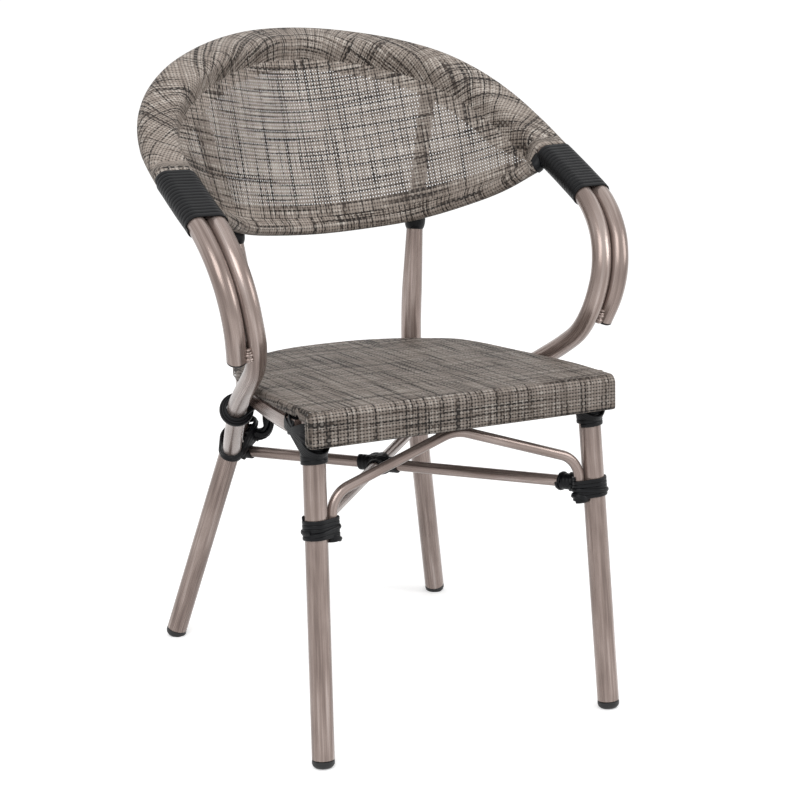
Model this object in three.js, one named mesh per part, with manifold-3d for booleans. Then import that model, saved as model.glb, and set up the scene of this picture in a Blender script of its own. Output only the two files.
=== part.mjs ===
// Bistro armchair: an aluminium tube frame with a bamboo look, a woven mesh seat and back,
// and black rattan bindings. Millimetres, +X to the sitter's left, +Y to the back, +Z up.
// Heights are above the floor, and depths (y) are behind the front feet until the last lines,
// which put the origin under the middle of the chair.
import * as THREE from "three";
import { mergeVertices } from "three/addons/utils/BufferGeometryUtils.js";
import Module from "manifold-3d";

const wasm = await Module();
wasm.setup();

// Tubes
const LEG_DIAMETER = 28;
const ARM_TUBE_DIAMETER = 25;
const BRACE_DIAMETER = 15;
const ARCH_DIAMETER = 13;
const BACK_RAIL_DIAMETER = 16;
const TUBE_WALL = 1.5;
const FIT_GAP = 0.35;
const WOUND_GAP = 0.95;

// Front legs: foot and lean, over the gauge height
const LEAN_GAUGE = 410;
const FRONT_FOOT_HALF_SPAN = 202.7;
const FRONT_LEG_LEAN_IN = 13;
const FRONT_LEG_LEAN_BACK = 48.5;

// Rear legs: foot, the bend under the seat, and the post that carries the back
const REAR_FOOT_HALF_SPAN = 207.6;
const REAR_FOOT_DEPTH = 494.8;
const REAR_BEND_HALF_SPAN = 116.3;
const REAR_BEND_DEPTH = 401;
const REAR_BEND_HEIGHT = 400;
const REAR_BEND_RADIUS = 350;
const POST_NECK_HALF_SPAN = 136.5;
const POST_NECK_HEIGHT = 592;
const POST_NECK_BEHIND_BACK = 29.45;
const POST_NECK_RADIUS = 160;
const POST_TOP_DIAMETER = 21;
const POST_TOP_HALF_SPAN = 180;
const POST_TAPER_LENGTH = 110;
const POST_TOP_NEAR_SHARE = 0.08;

// Foot glides
const GLIDE_HEIGHT = 10;
const GLIDE_DOME = 5;
const GLIDE_SPIGOT = 14;

// Arms and hoop: the outer of the two tubes that run side by side
const ARM_HALF_WIDTH = 281.5;
const ARM_FRONT_DEPTH = 107;
const HOOP_BACK_DEPTH = 566;
const HOOP_TOP_HEIGHT = 823;
const ARM_JOINT_DEPTH = 230;
const ARM_WRAP_FRONT_DEPTH = 170;
const ARM_WRAP_BACK_DEPTH = 289;
const ARM_PLUG_THICKNESS = 2.5;
const ARM_PLUG_SPIGOT = 12;
const ARM_WRAP_OVERRUN = 45;
// How far the pair of tubes stands on edge where it crosses the back
const PAIR_UPRIGHT_SHARE = 0.35;
// Shares of HOOP_TOP_HEIGHT at which the arm turns level and at which it starts to climb
const ARM_LEVEL_SHARE = 0.7363;
const ARM_CLIMB_SHARE = 0.794;

// Half of the outer tube's run, from its front end to the top of the back: shares of
// [ARM_HALF_WIDTH, ARM_FRONT_DEPTH to HOOP_BACK_DEPTH, HOOP_TOP_HEIGHT]
const HOOP_SHARES = [
  [0.904, 0.034, 0.583],
  [0.929, 0.007, 0.623],
  [0.9435, 0, 0.649],
  [0.9556, 0.0022, 0.6725],
  [0.966, 0.0126, 0.695],
  [0.976, 0.0305, 0.7164],
  [0.984, 0.0566, ARM_LEVEL_SHARE],
  [0.991, 0.0915, 0.7554],
  [0.996, 0.1364, 0.7728],
  [1, 0.2244, ARM_CLIMB_SHARE],
  [1, 0.3115, 0.8141],
  [0.998, 0.3965, 0.8335],
  [0.983, 0.512, 0.864],
  [0.927, 0.62, 0.8998],
  [0.833, 0.706, 0.932],
  [0.696, 0.782, 0.96],
  [0.52, 0.861, 0.98],
  [0.327, 0.9405, 0.9923],
  [0.17, 0.984, 0.998],
  [0, 1, 1],
];
// The inner tube's return run: it ends beside a rear leg, passes the seat rail, and joins the arm
const ARM_END_HEIGHT = 286;
const ARM_END_GAP = 1.1;
const ARM_END_OUTWARD_DEGREES = 21.8;
const ARM_PASS_DEPTH = 243.5;
const ARM_PASS_GAP = 4.1;
const ARM_RETURN_TOP_SHARES = [0.828, 0.0137, 0.6104];
const RETURN_MEETS_OFFSET_RISE = 27;
// Shares of the three ways, across, forward and up, between its end and the seat rail
const ARM_RETURN_LOW_SHARES = [
  [0, 0, 0],
  [0.4255, 0.4168, 0.4261],
  [0.6702, 0.6744, 0.6963],
  [0.8404, 0.8278, 0.8545],
  [1, 1, 1],
];
// Shares of the same ways between the seat rail and the top of the return
const ARM_RETURN_HIGH_SHARES = [
  [0.3673, 0.3471, 0.2576],
  [0.6275, 0.6476, 0.4919],
  [0.7959, 0.8594, 0.6974],
  [1, 1, 1],
];

// Back: the lower rail, from its middle to an end under the arm's wrap
const BACK_RAIL_MIDDLE_DEPTH = 436;
const BACK_RAIL_BELOW_NECK = 16;
const BACK_RAIL_END_INWARD = 13.45;
const BACK_RAIL_END_BELOW = 12.65;
const BACK_RAIL_END_UNDER_WRAP = 19.7;
// Shares of the three ways, across, forward and up, between the middle and the end
const BACK_RAIL_SHARES = [
  [0, 0, 0],
  [0.25, 0.0486, 0.0385],
  [0.5, 0.1946, 0.1474],
  [0.7, 0.4649, 0.3782],
  [0.865, 0.7649, 0.6699],
  [1, 1, 1],
];
const BACK_RAIL_TRIM_SHARE = 0.024;
const BACK_RAIL_SKIN_GAP_SHARE = 0.002;
const SLING_THICKNESS = 1.6;
const BACK_PANEL_THICKNESS = 2.4;

// Seat: top surface, its fall to the back, and the mesh that wraps its frame
const SEAT_HEIGHT = 439.5;
const SEAT_FRONT_DEPTH = 13;
const SEAT_FALL_DEGREES = 3.15;
const SEAT_HALF_WIDTH = 210;
const SEAT_DEPTH = 413;
const SEAT_EDGE_DROP = 12.5;
const SEAT_APRON_DROP = 44.6;
const SEAT_NOSE_RADIUS = 11;
const SEAT_FRONT_RAIL_DEPTH = 14;
const SEAT_TOP_RELIEF = 1;
// Half of the seat's outline from the front to the middle of the back:
// shares of [SEAT_HALF_WIDTH, SEAT_DEPTH]
const SEAT_OUTLINE_SHARES = [
  [1, 0.1],
  [1, 0.22],
  [0.965, 0.39],
  [0.915, 0.56],
  [0.86, 0.73],
  [0.79, 0.83],
  [0.642, 0.894],
  [0.44, 0.958],
  [0.23, 0.992],
  [0, 1],
];

// Seat rails: a round tube under a grooved flange that holds the mesh
const SEAT_RAIL_DIAMETER = 20;
const SEAT_RAIL_INSET = 13;
const SEAT_RAIL_DROP = 30.5;
const SEAT_RAIL_NECK = 5;
const SEAT_RAIL_FLANGE = 12;
const SEAT_RAIL_LIP = 2.5;
const SEAT_RAIL_LIP_RISE = 12;
const SEAT_RAIL_GROOVE_RISE = 19;
const SEAT_RAIL_JOINT_SHARE = 0.74;
const SIDE_RAIL_CURVE_SHARE = 0.02;

// Stretchers: the arch between the front legs and the two crossed braces
const ARCH_FOOT_HEIGHT = 274;
const ARCH_SHOULDER_HEIGHT = 328.2;
const ARCH_SHOULDER_RADIUS = 35;
const ARCH_PEAK_HEIGHT = 385.4;
const ARCH_PEAK_DEPTH = 47.3;
const ARCH_PEAK_RADIUS = 53;
const BRACE_FRONT_HEIGHT = 293.5;
const BRACE_REAR_HEIGHT = 281;

// Rattan bindings
const RATTAN_THICKNESS = 1.8;
const RATTAN_WIDTH = 6.9;
const RATTAN_TURN_GAP = 0.6;
const RATTAN_CROWN = 0.62;
const ARM_WRAP_TURNS = 16;
const ARM_WRAP_STEPS = 8;
const LEG_WRAP_TURNS = 4;
const LEG_WRAP_STEPS = 8;
const FRONT_WRAP_HEIGHT = 289;
const FRONT_TOP_WRAP_HEIGHT = 374;
const FRONT_TOP_WRAP_LENGTH = 20;
const FRONT_TOP_WRAP_REACH = 14;
const REAR_WRAP_HEIGHT = 280;
const REAR_WRAP_LENGTH = 27;
const REAR_WRAP_THICKNESS = 3.4;
const REAR_WRAP_REACH = 26;
const ARM_RING_BEHIND_PASS = 18.5;
const ARM_RING_LENGTH = 13;
const ARM_RING_THICKNESS = 6.5;
const ARM_RING_STRAP_SHARE = 0.62;
const ARM_RING_STRAP_RADIUS = 7;
const CROSS_WRAP_LENGTH = 44;
const CROSS_WRAP_THICKNESS = 3.4;
const BRACE_END_WRAP_LENGTH = 20;
const POST_WRAP_BELOW_NECK = 4;
const POST_WRAP_LENGTH = 22;
const SEAT_TIE_DIAMETER = 19;
const SEAT_TIE_HALF_SPAN = 98;
const SEAT_TIE_DEPTH = 402;
const SEAT_TIE_LOW = 300;
const SEAT_TIE_KNEE = 305;
const SEAT_TIE_BEND = 14;

// How finely the curves are stepped
const TUBE_SIDES = 12;
const BORE_SIDES = 6;
const BRACE_SIDES = 10;
const WRAP_SIDES = 12;
const BEND_STEP_DEGREES = 11;
const TUBE_STEP = 28;
const HOOP_STEP = 38;
const BACK_RAIL_STEP = 34;
const FINE_SAMPLES = 400;
const CUT_OVERRUN = 6;
const SKIN_STEPS = 4;
const PANEL_COLUMNS = 16;
const PANEL_ROWS = 2;
const PANEL_SPACE_SHARE = 0.003;
const SIDE_RAIL_STEPS = 6;
const REAR_RAIL_STEPS = 10;

const LEG_RADIUS = LEG_DIAMETER / 2;
const ARM_RADIUS = ARM_TUBE_DIAMETER / 2;
const BRACE_RADIUS = BRACE_DIAMETER / 2;
const ARCH_RADIUS = ARCH_DIAMETER / 2;
const BACK_RAIL_RADIUS = BACK_RAIL_DIAMETER / 2;
const SEAT_RAIL_RADIUS = SEAT_RAIL_DIAMETER / 2;
const ARM_TUBE_PITCH = ARM_TUBE_DIAMETER + FIT_GAP;
const X_AXIS = new THREE.Vector3(1, 0, 0);
const Z_AXIS = new THREE.Vector3(0, 0, 1);
const SIDES = { left: -1, right: 1 };

const chair = new THREE.Group();
const materials = {
  tube: { color: "#a99a90", roughness: 0.38, metalness: 0.75 },
  mesh: { color: "#8c8279", roughness: 0.9, metalness: 0 },
  rattan: { color: "#17181a", roughness: 0.55, metalness: 0 },
  plastic: { color: "#141414", roughness: 0.6, metalness: 0 },
};

function point(x, y, z) {
  return new THREE.Vector3(x, y, z);
}

function mirrored(places) {
  return places.map((place) => point(-place.x, place.y, place.z));
}

function add(name, geometry, material, group = chair) {
  const mesh = new THREE.Mesh(geometry, new THREE.MeshStandardMaterial(materials[material]));
  mesh.name = name;
  group.add(mesh);
  return mesh;
}

// Solids for cutting and joining
function toSolid(geometry) {
  const bare = new THREE.BufferGeometry();
  bare.setAttribute("position", geometry.getAttribute("position").clone());
  if (geometry.index) bare.setIndex(geometry.index.clone());
  const merged = mergeVertices(bare);
  const triVerts = new Uint32Array(merged.index.array);
  const vertProperties = new Float32Array(merged.getAttribute("position").array);
  return new wasm.Manifold(new wasm.Mesh({ numProp: 3, vertProperties, triVerts }));
}

function toGeometry(solid) {
  const mesh = solid.getMesh();
  const geometry = new THREE.BufferGeometry();
  geometry.setAttribute("position", new THREE.BufferAttribute(mesh.vertProperties, 3));
  geometry.setIndex(new THREE.BufferAttribute(mesh.triVerts, 1));
  return geometry;
}

function cut(geometry, ...cutters) {
  let solid = toSolid(geometry);
  for (const cutter of cutters) solid = solid.subtract(toSolid(cutter));
  return toGeometry(solid);
}

function join(...geometries) {
  let solid = toSolid(geometries[0]);
  for (const geometry of geometries.slice(1)) solid = solid.add(toSolid(geometry));
  return toGeometry(solid);
}

// A path with one station for each given point, so that straight runs have no steps between
class StationPath extends THREE.Curve {
  constructor(stations) {
    super();
    this.stations = stations;
    this.last = stations.length - 1;
  }

  getUtoTmapping(u) {
    return u;
  }

  getPoint(t, target = new THREE.Vector3()) {
    const place = Math.min(Math.max(t, 0), 1) * this.last;
    const index = Math.min(Math.floor(place), this.last - 1);
    return target.lerpVectors(this.stations[index], this.stations[index + 1], place - index);
  }

  getTangent(t, target = new THREE.Vector3()) {
    const index = Math.round(t * this.last);
    target.set(0, 0, 0);
    if (index > 0) target.add(direction(this.stations[index - 1], this.stations[index]));
    if (index < this.last) target.add(direction(this.stations[index], this.stations[index + 1]));
    return target.normalize();
  }
}

function lerpWays(from, to, shares) {
  const [across, forward, up] = shares;
  return point(
    THREE.MathUtils.lerp(from.x, to.x, across),
    THREE.MathUtils.lerp(from.y, to.y, forward),
    THREE.MathUtils.lerp(from.z, to.z, up),
  );
}

function direction(from, to) {
  return to.clone().sub(from).normalize();
}

function along(from, to, distance) {
  return from.clone().addScaledVector(direction(from, to), distance);
}

// A bent tube's centre line: straight runs between corners, with an arc at each inner corner
function bentPath(corners, radii) {
  const stations = [corners[0].clone()];
  for (let index = 1; index < corners.length - 1; index += 1) {
    const corner = corners[index];
    const back = direction(corner, corners[index - 1]);
    const ahead = direction(corner, corners[index + 1]);
    const turn = Math.PI - back.angleTo(ahead);
    const radius = radii[index - 1];
    const setback = radius * Math.tan(turn / 2);
    const middle = back.clone().add(ahead).normalize();
    const centre = corner.clone().addScaledVector(middle, radius / Math.cos(turn / 2));
    const spoke = corner.clone().addScaledVector(back, setback).sub(centre);
    const axis = ahead.clone().cross(back).normalize();
    const steps = Math.max(2, Math.ceil(THREE.MathUtils.radToDeg(turn) / BEND_STEP_DEGREES));
    for (let step = 0; step <= steps; step += 1) {
      const arm = spoke.clone().applyAxisAngle(axis, (turn * step) / steps);
      stations.push(centre.clone().add(arm));
    }
  }
  stations.push(corners[corners.length - 1].clone());
  return stations;
}

function smoothCurve(places) {
  return new THREE.CatmullRomCurve3(places, false, "centripetal");
}

function spacedStations(curve, spacing) {
  return curve.getSpacedPoints(Math.max(2, Math.round(curve.getLength() / spacing)));
}

function polygon(radius, sides) {
  const corners = [];
  for (let side = 0; side < sides; side += 1) {
    const angle = ((side + 0.5) * 2 * Math.PI) / sides;
    corners.push(new THREE.Vector2(radius * Math.cos(angle), radius * Math.sin(angle)));
  }
  return corners;
}

function sweep(shape, stations) {
  return new THREE.ExtrudeGeometry(shape, {
    steps: stations.length - 1,
    extrudePath: new StationPath(stations),
    bevelEnabled: false,
  });
}

function rod(stations, radius, sides = TUBE_SIDES) {
  return sweep(new THREE.Shape(polygon(radius, sides)), stations);
}

function tube(stations, radius, sides = TUBE_SIDES) {
  const shape = new THREE.Shape(polygon(radius, sides));
  shape.holes.push(new THREE.Path(polygon(radius - TUBE_WALL, BORE_SIDES).reverse()));
  return sweep(shape, stations);
}

// A section carried along level stations, upright all the way, with given directions at the ends
function sweepUpright(shape, stations, startAhead, endAhead) {
  const contour = shape.getPoints();
  const holes = shape.holes.map((hole) => hole.getPoints());
  const loops = [contour, ...holes];
  const path = new StationPath(stations);
  const last = stations.length - 1;
  const places = [];
  for (let index = 0; index <= last; index += 1) {
    let ahead = path.getTangent(index / last);
    if (index === 0) ahead = startAhead;
    if (index === last) ahead = endAhead;
    const side = ahead.clone().cross(Z_AXIS).normalize();
    let stretch = 1;
    if (index > 0 && index < last) {
      const bend = ahead.angleTo(direction(stations[index], stations[index + 1]));
      stretch = 1 / Math.cos(bend);
    }
    for (const loop of loops) {
      for (const corner of loop) {
        const place = stations[index].clone().addScaledVector(side, corner.x * stretch);
        places.push(place.x, place.y, place.z + corner.y);
      }
    }
  }
  const count = loops.reduce((sum, loop) => sum + loop.length, 0);
  const faces = [];
  for (let index = 0; index < last; index += 1) {
    let base = index * count;
    for (const loop of loops) {
      for (let corner = 0; corner < loop.length; corner += 1) {
        const a = base + corner;
        const b = base + ((corner + 1) % loop.length);
        faces.push(a, a + count, b, b, a + count, b + count);
      }
      base += loop.length;
    }
  }
  for (const [a, b, c] of THREE.ShapeUtils.triangulateShape(contour, holes)) {
    faces.push(a, b, c);
    faces.push(last * count + a, last * count + c, last * count + b);
  }
  const geometry = new THREE.BufferGeometry();
  geometry.setAttribute("position", new THREE.Float32BufferAttribute(places, 3));
  geometry.setIndex(faces);
  if (signedVolume(geometry) < 0) geometry.setIndex(faces.reverse());
  return geometry;
}

// Legs
function frontLegAt(side, height) {
  const share = height / LEAN_GAUGE;
  const half = FRONT_FOOT_HALF_SPAN - FRONT_LEG_LEAN_IN * share;
  return point(side * half, FRONT_LEG_LEAN_BACK * share, height);
}

function rearLegAt(side, height) {
  const share = height / REAR_BEND_HEIGHT;
  const half = THREE.MathUtils.lerp(REAR_FOOT_HALF_SPAN, REAR_BEND_HALF_SPAN, share);
  const depth = THREE.MathUtils.lerp(REAR_FOOT_DEPTH, REAR_BEND_DEPTH, share);
  return point(side * half, depth, height);
}

function postAt(side, height) {
  const share = (height - REAR_BEND_HEIGHT) / (POST_NECK_HEIGHT - REAR_BEND_HEIGHT);
  const half = THREE.MathUtils.lerp(REAR_BEND_HALF_SPAN, POST_NECK_HALF_SPAN, share);
  const depth = THREE.MathUtils.lerp(REAR_BEND_DEPTH, postNeckDepth, share);
  return point(side * half, depth, height);
}

// Swages a post: the tube narrows over the taper's length, below the neck
function taper(geometry, side) {
  const neck = postAt(side, POST_NECK_HEIGHT);
  const bend = postAt(side, REAR_BEND_HEIGHT);
  const axis = direction(bend, neck);
  const start = bend.distanceTo(neck) - POST_TAPER_LENGTH;
  const least = POST_TOP_DIAMETER / LEG_DIAMETER;
  const places = geometry.getAttribute("position");
  const place = new THREE.Vector3();
  const foot = new THREE.Vector3();
  for (let index = 0; index < places.count; index += 1) {
    place.fromBufferAttribute(places, index);
    const distance = place.clone().sub(bend).dot(axis);
    const share = THREE.MathUtils.clamp((distance - start) / POST_TAPER_LENGTH, 0, 1);
    foot.copy(rearSpine[side].closest(place));
    place.sub(foot).multiplyScalar(THREE.MathUtils.lerp(1, least, share)).add(foot);
    places.setXYZ(index, place.x, place.y, place.z);
  }
  return geometry;
}

// A polyline that gives the nearest point on itself, and its first point at a depth
class Spine {
  constructor(stations) {
    this.stations = stations;
  }

  atDepth(depth) {
    const past = this.stations.findIndex((place, index) => index > 0 && place.y >= depth);
    const [from, to] = this.stations.slice(Math.max(past, 1) - 1);
    return from.clone().lerp(to, (depth - from.y) / (to.y - from.y));
  }

  closest(place) {
    const line = new THREE.Line3();
    const found = new THREE.Vector3();
    let best = new THREE.Vector3();
    let least = Infinity;
    for (let index = 0; index < this.stations.length - 1; index += 1) {
      line.set(this.stations[index], this.stations[index + 1]);
      line.closestPointToPoint(place, true, found);
      if (found.distanceTo(place) < least) {
        least = found.distanceTo(place);
        best = found.clone();
      }
    }
    return best;
  }
}

// Arms and hoop: the outer tube's run on the right half, finely sampled
const hoopReach = HOOP_BACK_DEPTH - ARM_FRONT_DEPTH;
function hoopPlace(shares) {
  const depth = ARM_FRONT_DEPTH + hoopReach * shares[1];
  return point(ARM_HALF_WIDTH * shares[0], depth, HOOP_TOP_HEIGHT * shares[2]);
}
const rightHalf = HOOP_SHARES.map(hoopPlace);
const leftHalf = mirrored(rightHalf.slice(0, -1)).reverse();
const hoopCurve = smoothCurve([...rightHalf, ...leftHalf]);
const hoopLength = hoopCurve.getLength();
hoopCurve.arcLengthDivisions = FINE_SAMPLES;
hoopCurve.updateArcLengths();

// Place, direction and the inward and upward sides of the pair of tubes at a share of the run
function hoopFrame(share) {
  const centre = hoopCurve.getPointAt(share);
  const ahead = hoopCurve.getTangentAt(share);
  const mirror = share > 0.5 ? -1 : 1;
  const rise = point(0, hoopReach, HOOP_TOP_HEIGHT * (1 - ARM_CLIMB_SHARE)).normalize();
  const side = point(0, ahead.y * mirror, ahead.z * mirror);
  side.addScaledVector(rise, PAIR_UPRIGHT_SHARE);
  const up = point(0, -side.z, side.y).normalize();
  const inward = up.clone().cross(ahead).normalize();
  const over = ahead.clone().cross(inward).normalize();
  return { centre, ahead, inward, over };
}

function hoopInner(share) {
  const frame = hoopFrame(share);
  return frame.centre.addScaledVector(frame.inward, ARM_TUBE_PITCH);
}

// The share of the run at which the right arm passes a depth, behind its front
function hoopShareAtDepth(depth) {
  let best = 0;
  let least = Infinity;
  for (let sample = 0; sample <= FINE_SAMPLES; sample += 1) {
    const share = (0.5 * sample) / FINE_SAMPLES;
    const place = hoopCurve.getPointAt(share);
    const miss = Math.abs(place.y - depth);
    if (place.z > HOOP_TOP_HEIGHT * ARM_LEVEL_SHARE && miss < least) {
      least = miss;
      best = share;
    }
  }
  return best;
}

const jointShare = hoopShareAtDepth(ARM_JOINT_DEPTH);
const wrapFrontShare = hoopShareAtDepth(ARM_WRAP_FRONT_DEPTH);
const wrapBackShare = hoopShareAtDepth(ARM_WRAP_BACK_DEPTH);
const gapShare = FIT_GAP / hoopLength;

function hoopStations(from, to, spacing, placeAt) {
  const steps = Math.max(2, Math.round(((to - from) * hoopLength) / spacing));
  const stations = [];
  for (let step = 0; step <= steps; step += 1) {
    stations.push(placeAt(from + ((to - from) * step) / steps));
  }
  return stations;
}

const outerPlace = (share) => hoopCurve.getPointAt(share);
const slingShare = wrapBackShare + 3 * gapShare;
const hoopStart = jointShare + gapShare / 2;
const hoopShares = [
  hoopStart,
  (hoopStart + slingShare) / 2,
  ...hoopStations(slingShare, 1 - slingShare, HOOP_STEP, (share) => share),
  1 - (hoopStart + slingShare) / 2,
  1 - hoopStart,
];
const outerHoop = hoopShares.map(outerPlace);
const innerHoop = hoopShares.map(hoopInner);
add("hoop_tube_outer", tube(outerHoop, ARM_RADIUS), "tube");
add("hoop_tube_inner", tube(innerHoop, ARM_RADIUS), "tube");

// The radius of a spigot that clears a tube's faceted bore
function boreClear(radius) {
  return (radius - TUBE_WALL) * Math.cos(Math.PI / BORE_SIDES) - FIT_GAP;
}

// Turns a lathed piece's axis from one place towards another, and starts it at a distance
function pointAlong(mesh, from, to, distance) {
  const ahead = direction(from, to);
  mesh.quaternion.setFromUnitVectors(point(0, 1, 0), ahead);
  mesh.position.copy(from).addScaledVector(ahead, distance);
}

// Back rail
const railMiddle = point(0, BACK_RAIL_MIDDLE_DEPTH, POST_NECK_HEIGHT - BACK_RAIL_BELOW_NECK);
const wrapEndFrame = hoopFrame(wrapBackShare);
const railEnd = hoopInner(wrapBackShare)
  .addScaledVector(wrapEndFrame.inward, BACK_RAIL_END_INWARD)
  .addScaledVector(wrapEndFrame.over, -BACK_RAIL_END_BELOW)
  .addScaledVector(wrapEndFrame.ahead, -BACK_RAIL_END_UNDER_WRAP);
const railHalf = BACK_RAIL_SHARES.map((shares) => lerpWays(railMiddle, railEnd, shares));
const backRailCurve = smoothCurve([...railHalf.slice(1).reverse(), ...mirrored(railHalf)]);
const backRailStations = spacedStations(backRailCurve, BACK_RAIL_STEP);

// The depth of a post's neck: behind the back's panel, at the neck's height
const postNeckDepth = backDepthAt(POST_NECK_HALF_SPAN, POST_NECK_HEIGHT) + POST_NECK_BEHIND_BACK;
function backDepthAt(half, height) {
  let share = 0.5;
  while (share > 0 && backRailCurve.getPointAt(share).x < half) share -= 0.5 / FINE_SAMPLES;
  const low = backRailCurve.getPointAt(share);
  const top = hoopInner(THREE.MathUtils.mapLinear(share, 0, 1, slingShare, 1 - slingShare));
  return THREE.MathUtils.mapLinear(height, low.z, top.z, low.y, top.y);
}

// One turn of a belt: even steps round the circles, with both ends of the straight runs
function beltTurn(circles, steps) {
  const span = circles[1].centre.clone().sub(circles[0].centre);
  const lead = Math.acos((circles[0].radius - circles[1].radius) / span.length());
  const base = span.angle();
  const turn = [];
  const sweepSecond = 2 * lead;
  const parts = [
    { circle: circles[1], from: base - lead, sweep: sweepSecond },
    { circle: circles[0], from: base + lead, sweep: 2 * Math.PI - sweepSecond },
  ];
  for (const part of parts) {
    const share = part.sweep / (2 * Math.PI);
    const count = Math.max(3, Math.round(steps * share));
    const stretch = 1 / Math.cos(part.sweep / count / 2);
    for (let step = 0; step <= count; step += 1) {
      const angle = part.from + (part.sweep * step) / count;
      const normal = new THREE.Vector2(Math.cos(angle), Math.sin(angle));
      const inner = part.circle.radius * (step === 0 || step === count ? 1 : stretch);
      turn.push({ centre: part.circle.centre, normal, inner });
    }
  }
  return turn;
}

// Rattan wound round a pair of tubes: one unbroken strip, laid turn beside turn
function winding(circles, turns, steps, pitch, frameAt) {
  const turn = beltTurn(circles, steps);
  const rings = [];
  const half = RATTAN_WIDTH / 2;
  const total = turns * turn.length;
  for (let index = 0; index <= total; index += 1) {
    const { centre, normal, inner } = turn[index % turn.length];
    const travel = half + (index / turn.length) * pitch;
    const ring = [];
    const section = [
      [0, -half],
      [0, half],
      [RATTAN_THICKNESS, half * RATTAN_CROWN],
      [RATTAN_THICKNESS, -half * RATTAN_CROWN],
    ];
    for (const [rise, shift] of section) {
      const flat = centre.clone().addScaledVector(normal, inner + rise);
      ring.push(frameAt(flat, travel + shift));
    }
    rings.push(ring);
  }
  reportLeastGap(rings, turn.length);
  return ringsGeometry(rings);
}

// The least distance between points of the strip that are about a turn apart
function reportLeastGap(rings, perTurn) {
  let least = Infinity;
  const reach = Math.ceil(perTurn / 2);
  for (let first = 0; first < rings.length; first += 1) {
    const stop = Math.min(rings.length, first + 2 * perTurn);
    for (let second = first + reach; second < stop; second += 1) {
      for (const a of rings[first]) {
        for (const b of rings[second]) least = Math.min(least, a.distanceTo(b));
      }
    }
  }
  console.log(`least gap between the turns of a winding: ${least.toFixed(2)} mm`);
}

// A closed skin through rings of points, capped at both ends
function ringsGeometry(rings) {
  const places = [];
  const faces = [];
  const count = rings[0].length;
  for (const ring of rings) for (const place of ring) places.push(place.x, place.y, place.z);
  for (let ring = 0; ring < rings.length - 1; ring += 1) {
    for (let corner = 0; corner < count; corner += 1) {
      const next = (corner + 1) % count;
      const a = ring * count + corner;
      const b = ring * count + next;
      faces.push(a, a + count, b, b, a + count, b + count);
    }
  }
  const last = (rings.length - 1) * count;
  for (let corner = 1; corner < count - 1; corner += 1) {
    faces.push(0, corner, corner + 1);
    faces.push(last, last + corner + 1, last + corner);
  }
  const geometry = new THREE.BufferGeometry();
  geometry.setAttribute("position", new THREE.Float32BufferAttribute(places, 3));
  geometry.setIndex(faces);
  if (signedVolume(geometry) < 0) geometry.setIndex(faces.reverse());
  return geometry;
}

function signedVolume(geometry) {
  const places = geometry.getAttribute("position");
  const corner = [new THREE.Vector3(), new THREE.Vector3(), new THREE.Vector3()];
  let volume = 0;
  for (let index = 0; index < geometry.index.count; index += 3) {
    corner.forEach((place, at) => {
      place.fromBufferAttribute(places, geometry.index.getX(index + at));
    });
    volume += corner[0].dot(corner[1].clone().cross(corner[2])) / 6;
  }
  return volume;
}

// Arm wraps: wound over both tubes where the arms meet the hoop
const woundRadius = ARM_RADIUS + WOUND_GAP;
const pairCircles = [
  { centre: new THREE.Vector2(0, 0), radius: woundRadius },
  { centre: new THREE.Vector2(ARM_TUBE_PITCH, 0), radius: woundRadius },
];
const armWrapRun = (wrapBackShare - wrapFrontShare) * hoopLength;
const armWrapPitch = (armWrapRun - RATTAN_WIDTH) / ARM_WRAP_TURNS;
for (const side of Object.keys(SIDES)) {
  const frameAt = (flat, travel) => {
    const frame = hoopFrame(wrapFrontShare + travel / hoopLength);
    const place = frame.centre
      .addScaledVector(frame.inward, flat.x)
      .addScaledVector(frame.over, flat.y);
    place.x *= SIDES[side];
    return place;
  };
  const wound = winding(pairCircles, ARM_WRAP_TURNS, ARM_WRAP_STEPS, armWrapPitch, frameAt);
  add(`arm_wrap_${side}`, wound, "rattan");
}

// A pair of tubes' belt as a hoop-long skin, for the sling's tunnel and for cuts
function stadium(radius, steps) {
  const ring = [];
  for (let step = 0; step < 2 * steps + 2; step += 1) {
    const second = step > steps;
    const local = second ? step - steps - 1 : step;
    const angle = (second ? Math.PI / 2 : -Math.PI / 2) + (Math.PI * local) / steps;
    const reach = radius / Math.cos(Math.PI / steps / 2);
    const centre = second ? 0 : ARM_TUBE_PITCH;
    ring.push(new THREE.Vector2(centre + reach * Math.cos(angle), reach * Math.sin(angle)));
  }
  return ring;
}

function pairSkin(shares, radius) {
  const frames = shares.map(hoopFrame);
  const outline = stadium(radius, SKIN_STEPS);
  const rings = frames.map((frame) =>
    outline.map((flat) =>
      frame.centre
        .clone()
        .addScaledVector(frame.inward, flat.x)
        .addScaledVector(frame.over, flat.y),
    ),
  );
  return ringsGeometry(rings);
}

// A box whose corners are carried to a curved place, u and v along it and w through it. The
// faces of its last side are split the other way, so that both walls of a twisted box run alike
function bentBox(columns, rows, placeAt) {
  const geometry = new THREE.BoxGeometry(1, 1, 1, columns, rows, 1);
  const corners = geometry.index.array;
  const { start, count } = geometry.groups.at(-1);
  for (let at = start; at < start + count; at += 6) {
    const [a, b, d, , c] = corners.slice(at, at + 6);
    corners.set([a, b, c, a, c, d], at);
  }
  const places = geometry.getAttribute("position");
  for (let index = 0; index < places.count; index += 1) {
    const u = places.getX(index) + 0.5;
    const v = places.getY(index) + 0.5;
    const place = placeAt(u, v, places.getZ(index));
    places.setXYZ(index, place.x, place.y, place.z);
  }
  geometry.deleteAttribute("normal");
  geometry.deleteAttribute("uv");
  const merged = mergeVertices(geometry);
  if (signedVolume(merged) < 0) merged.setIndex(Array.from(merged.index.array).reverse());
  return merged;
}

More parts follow.
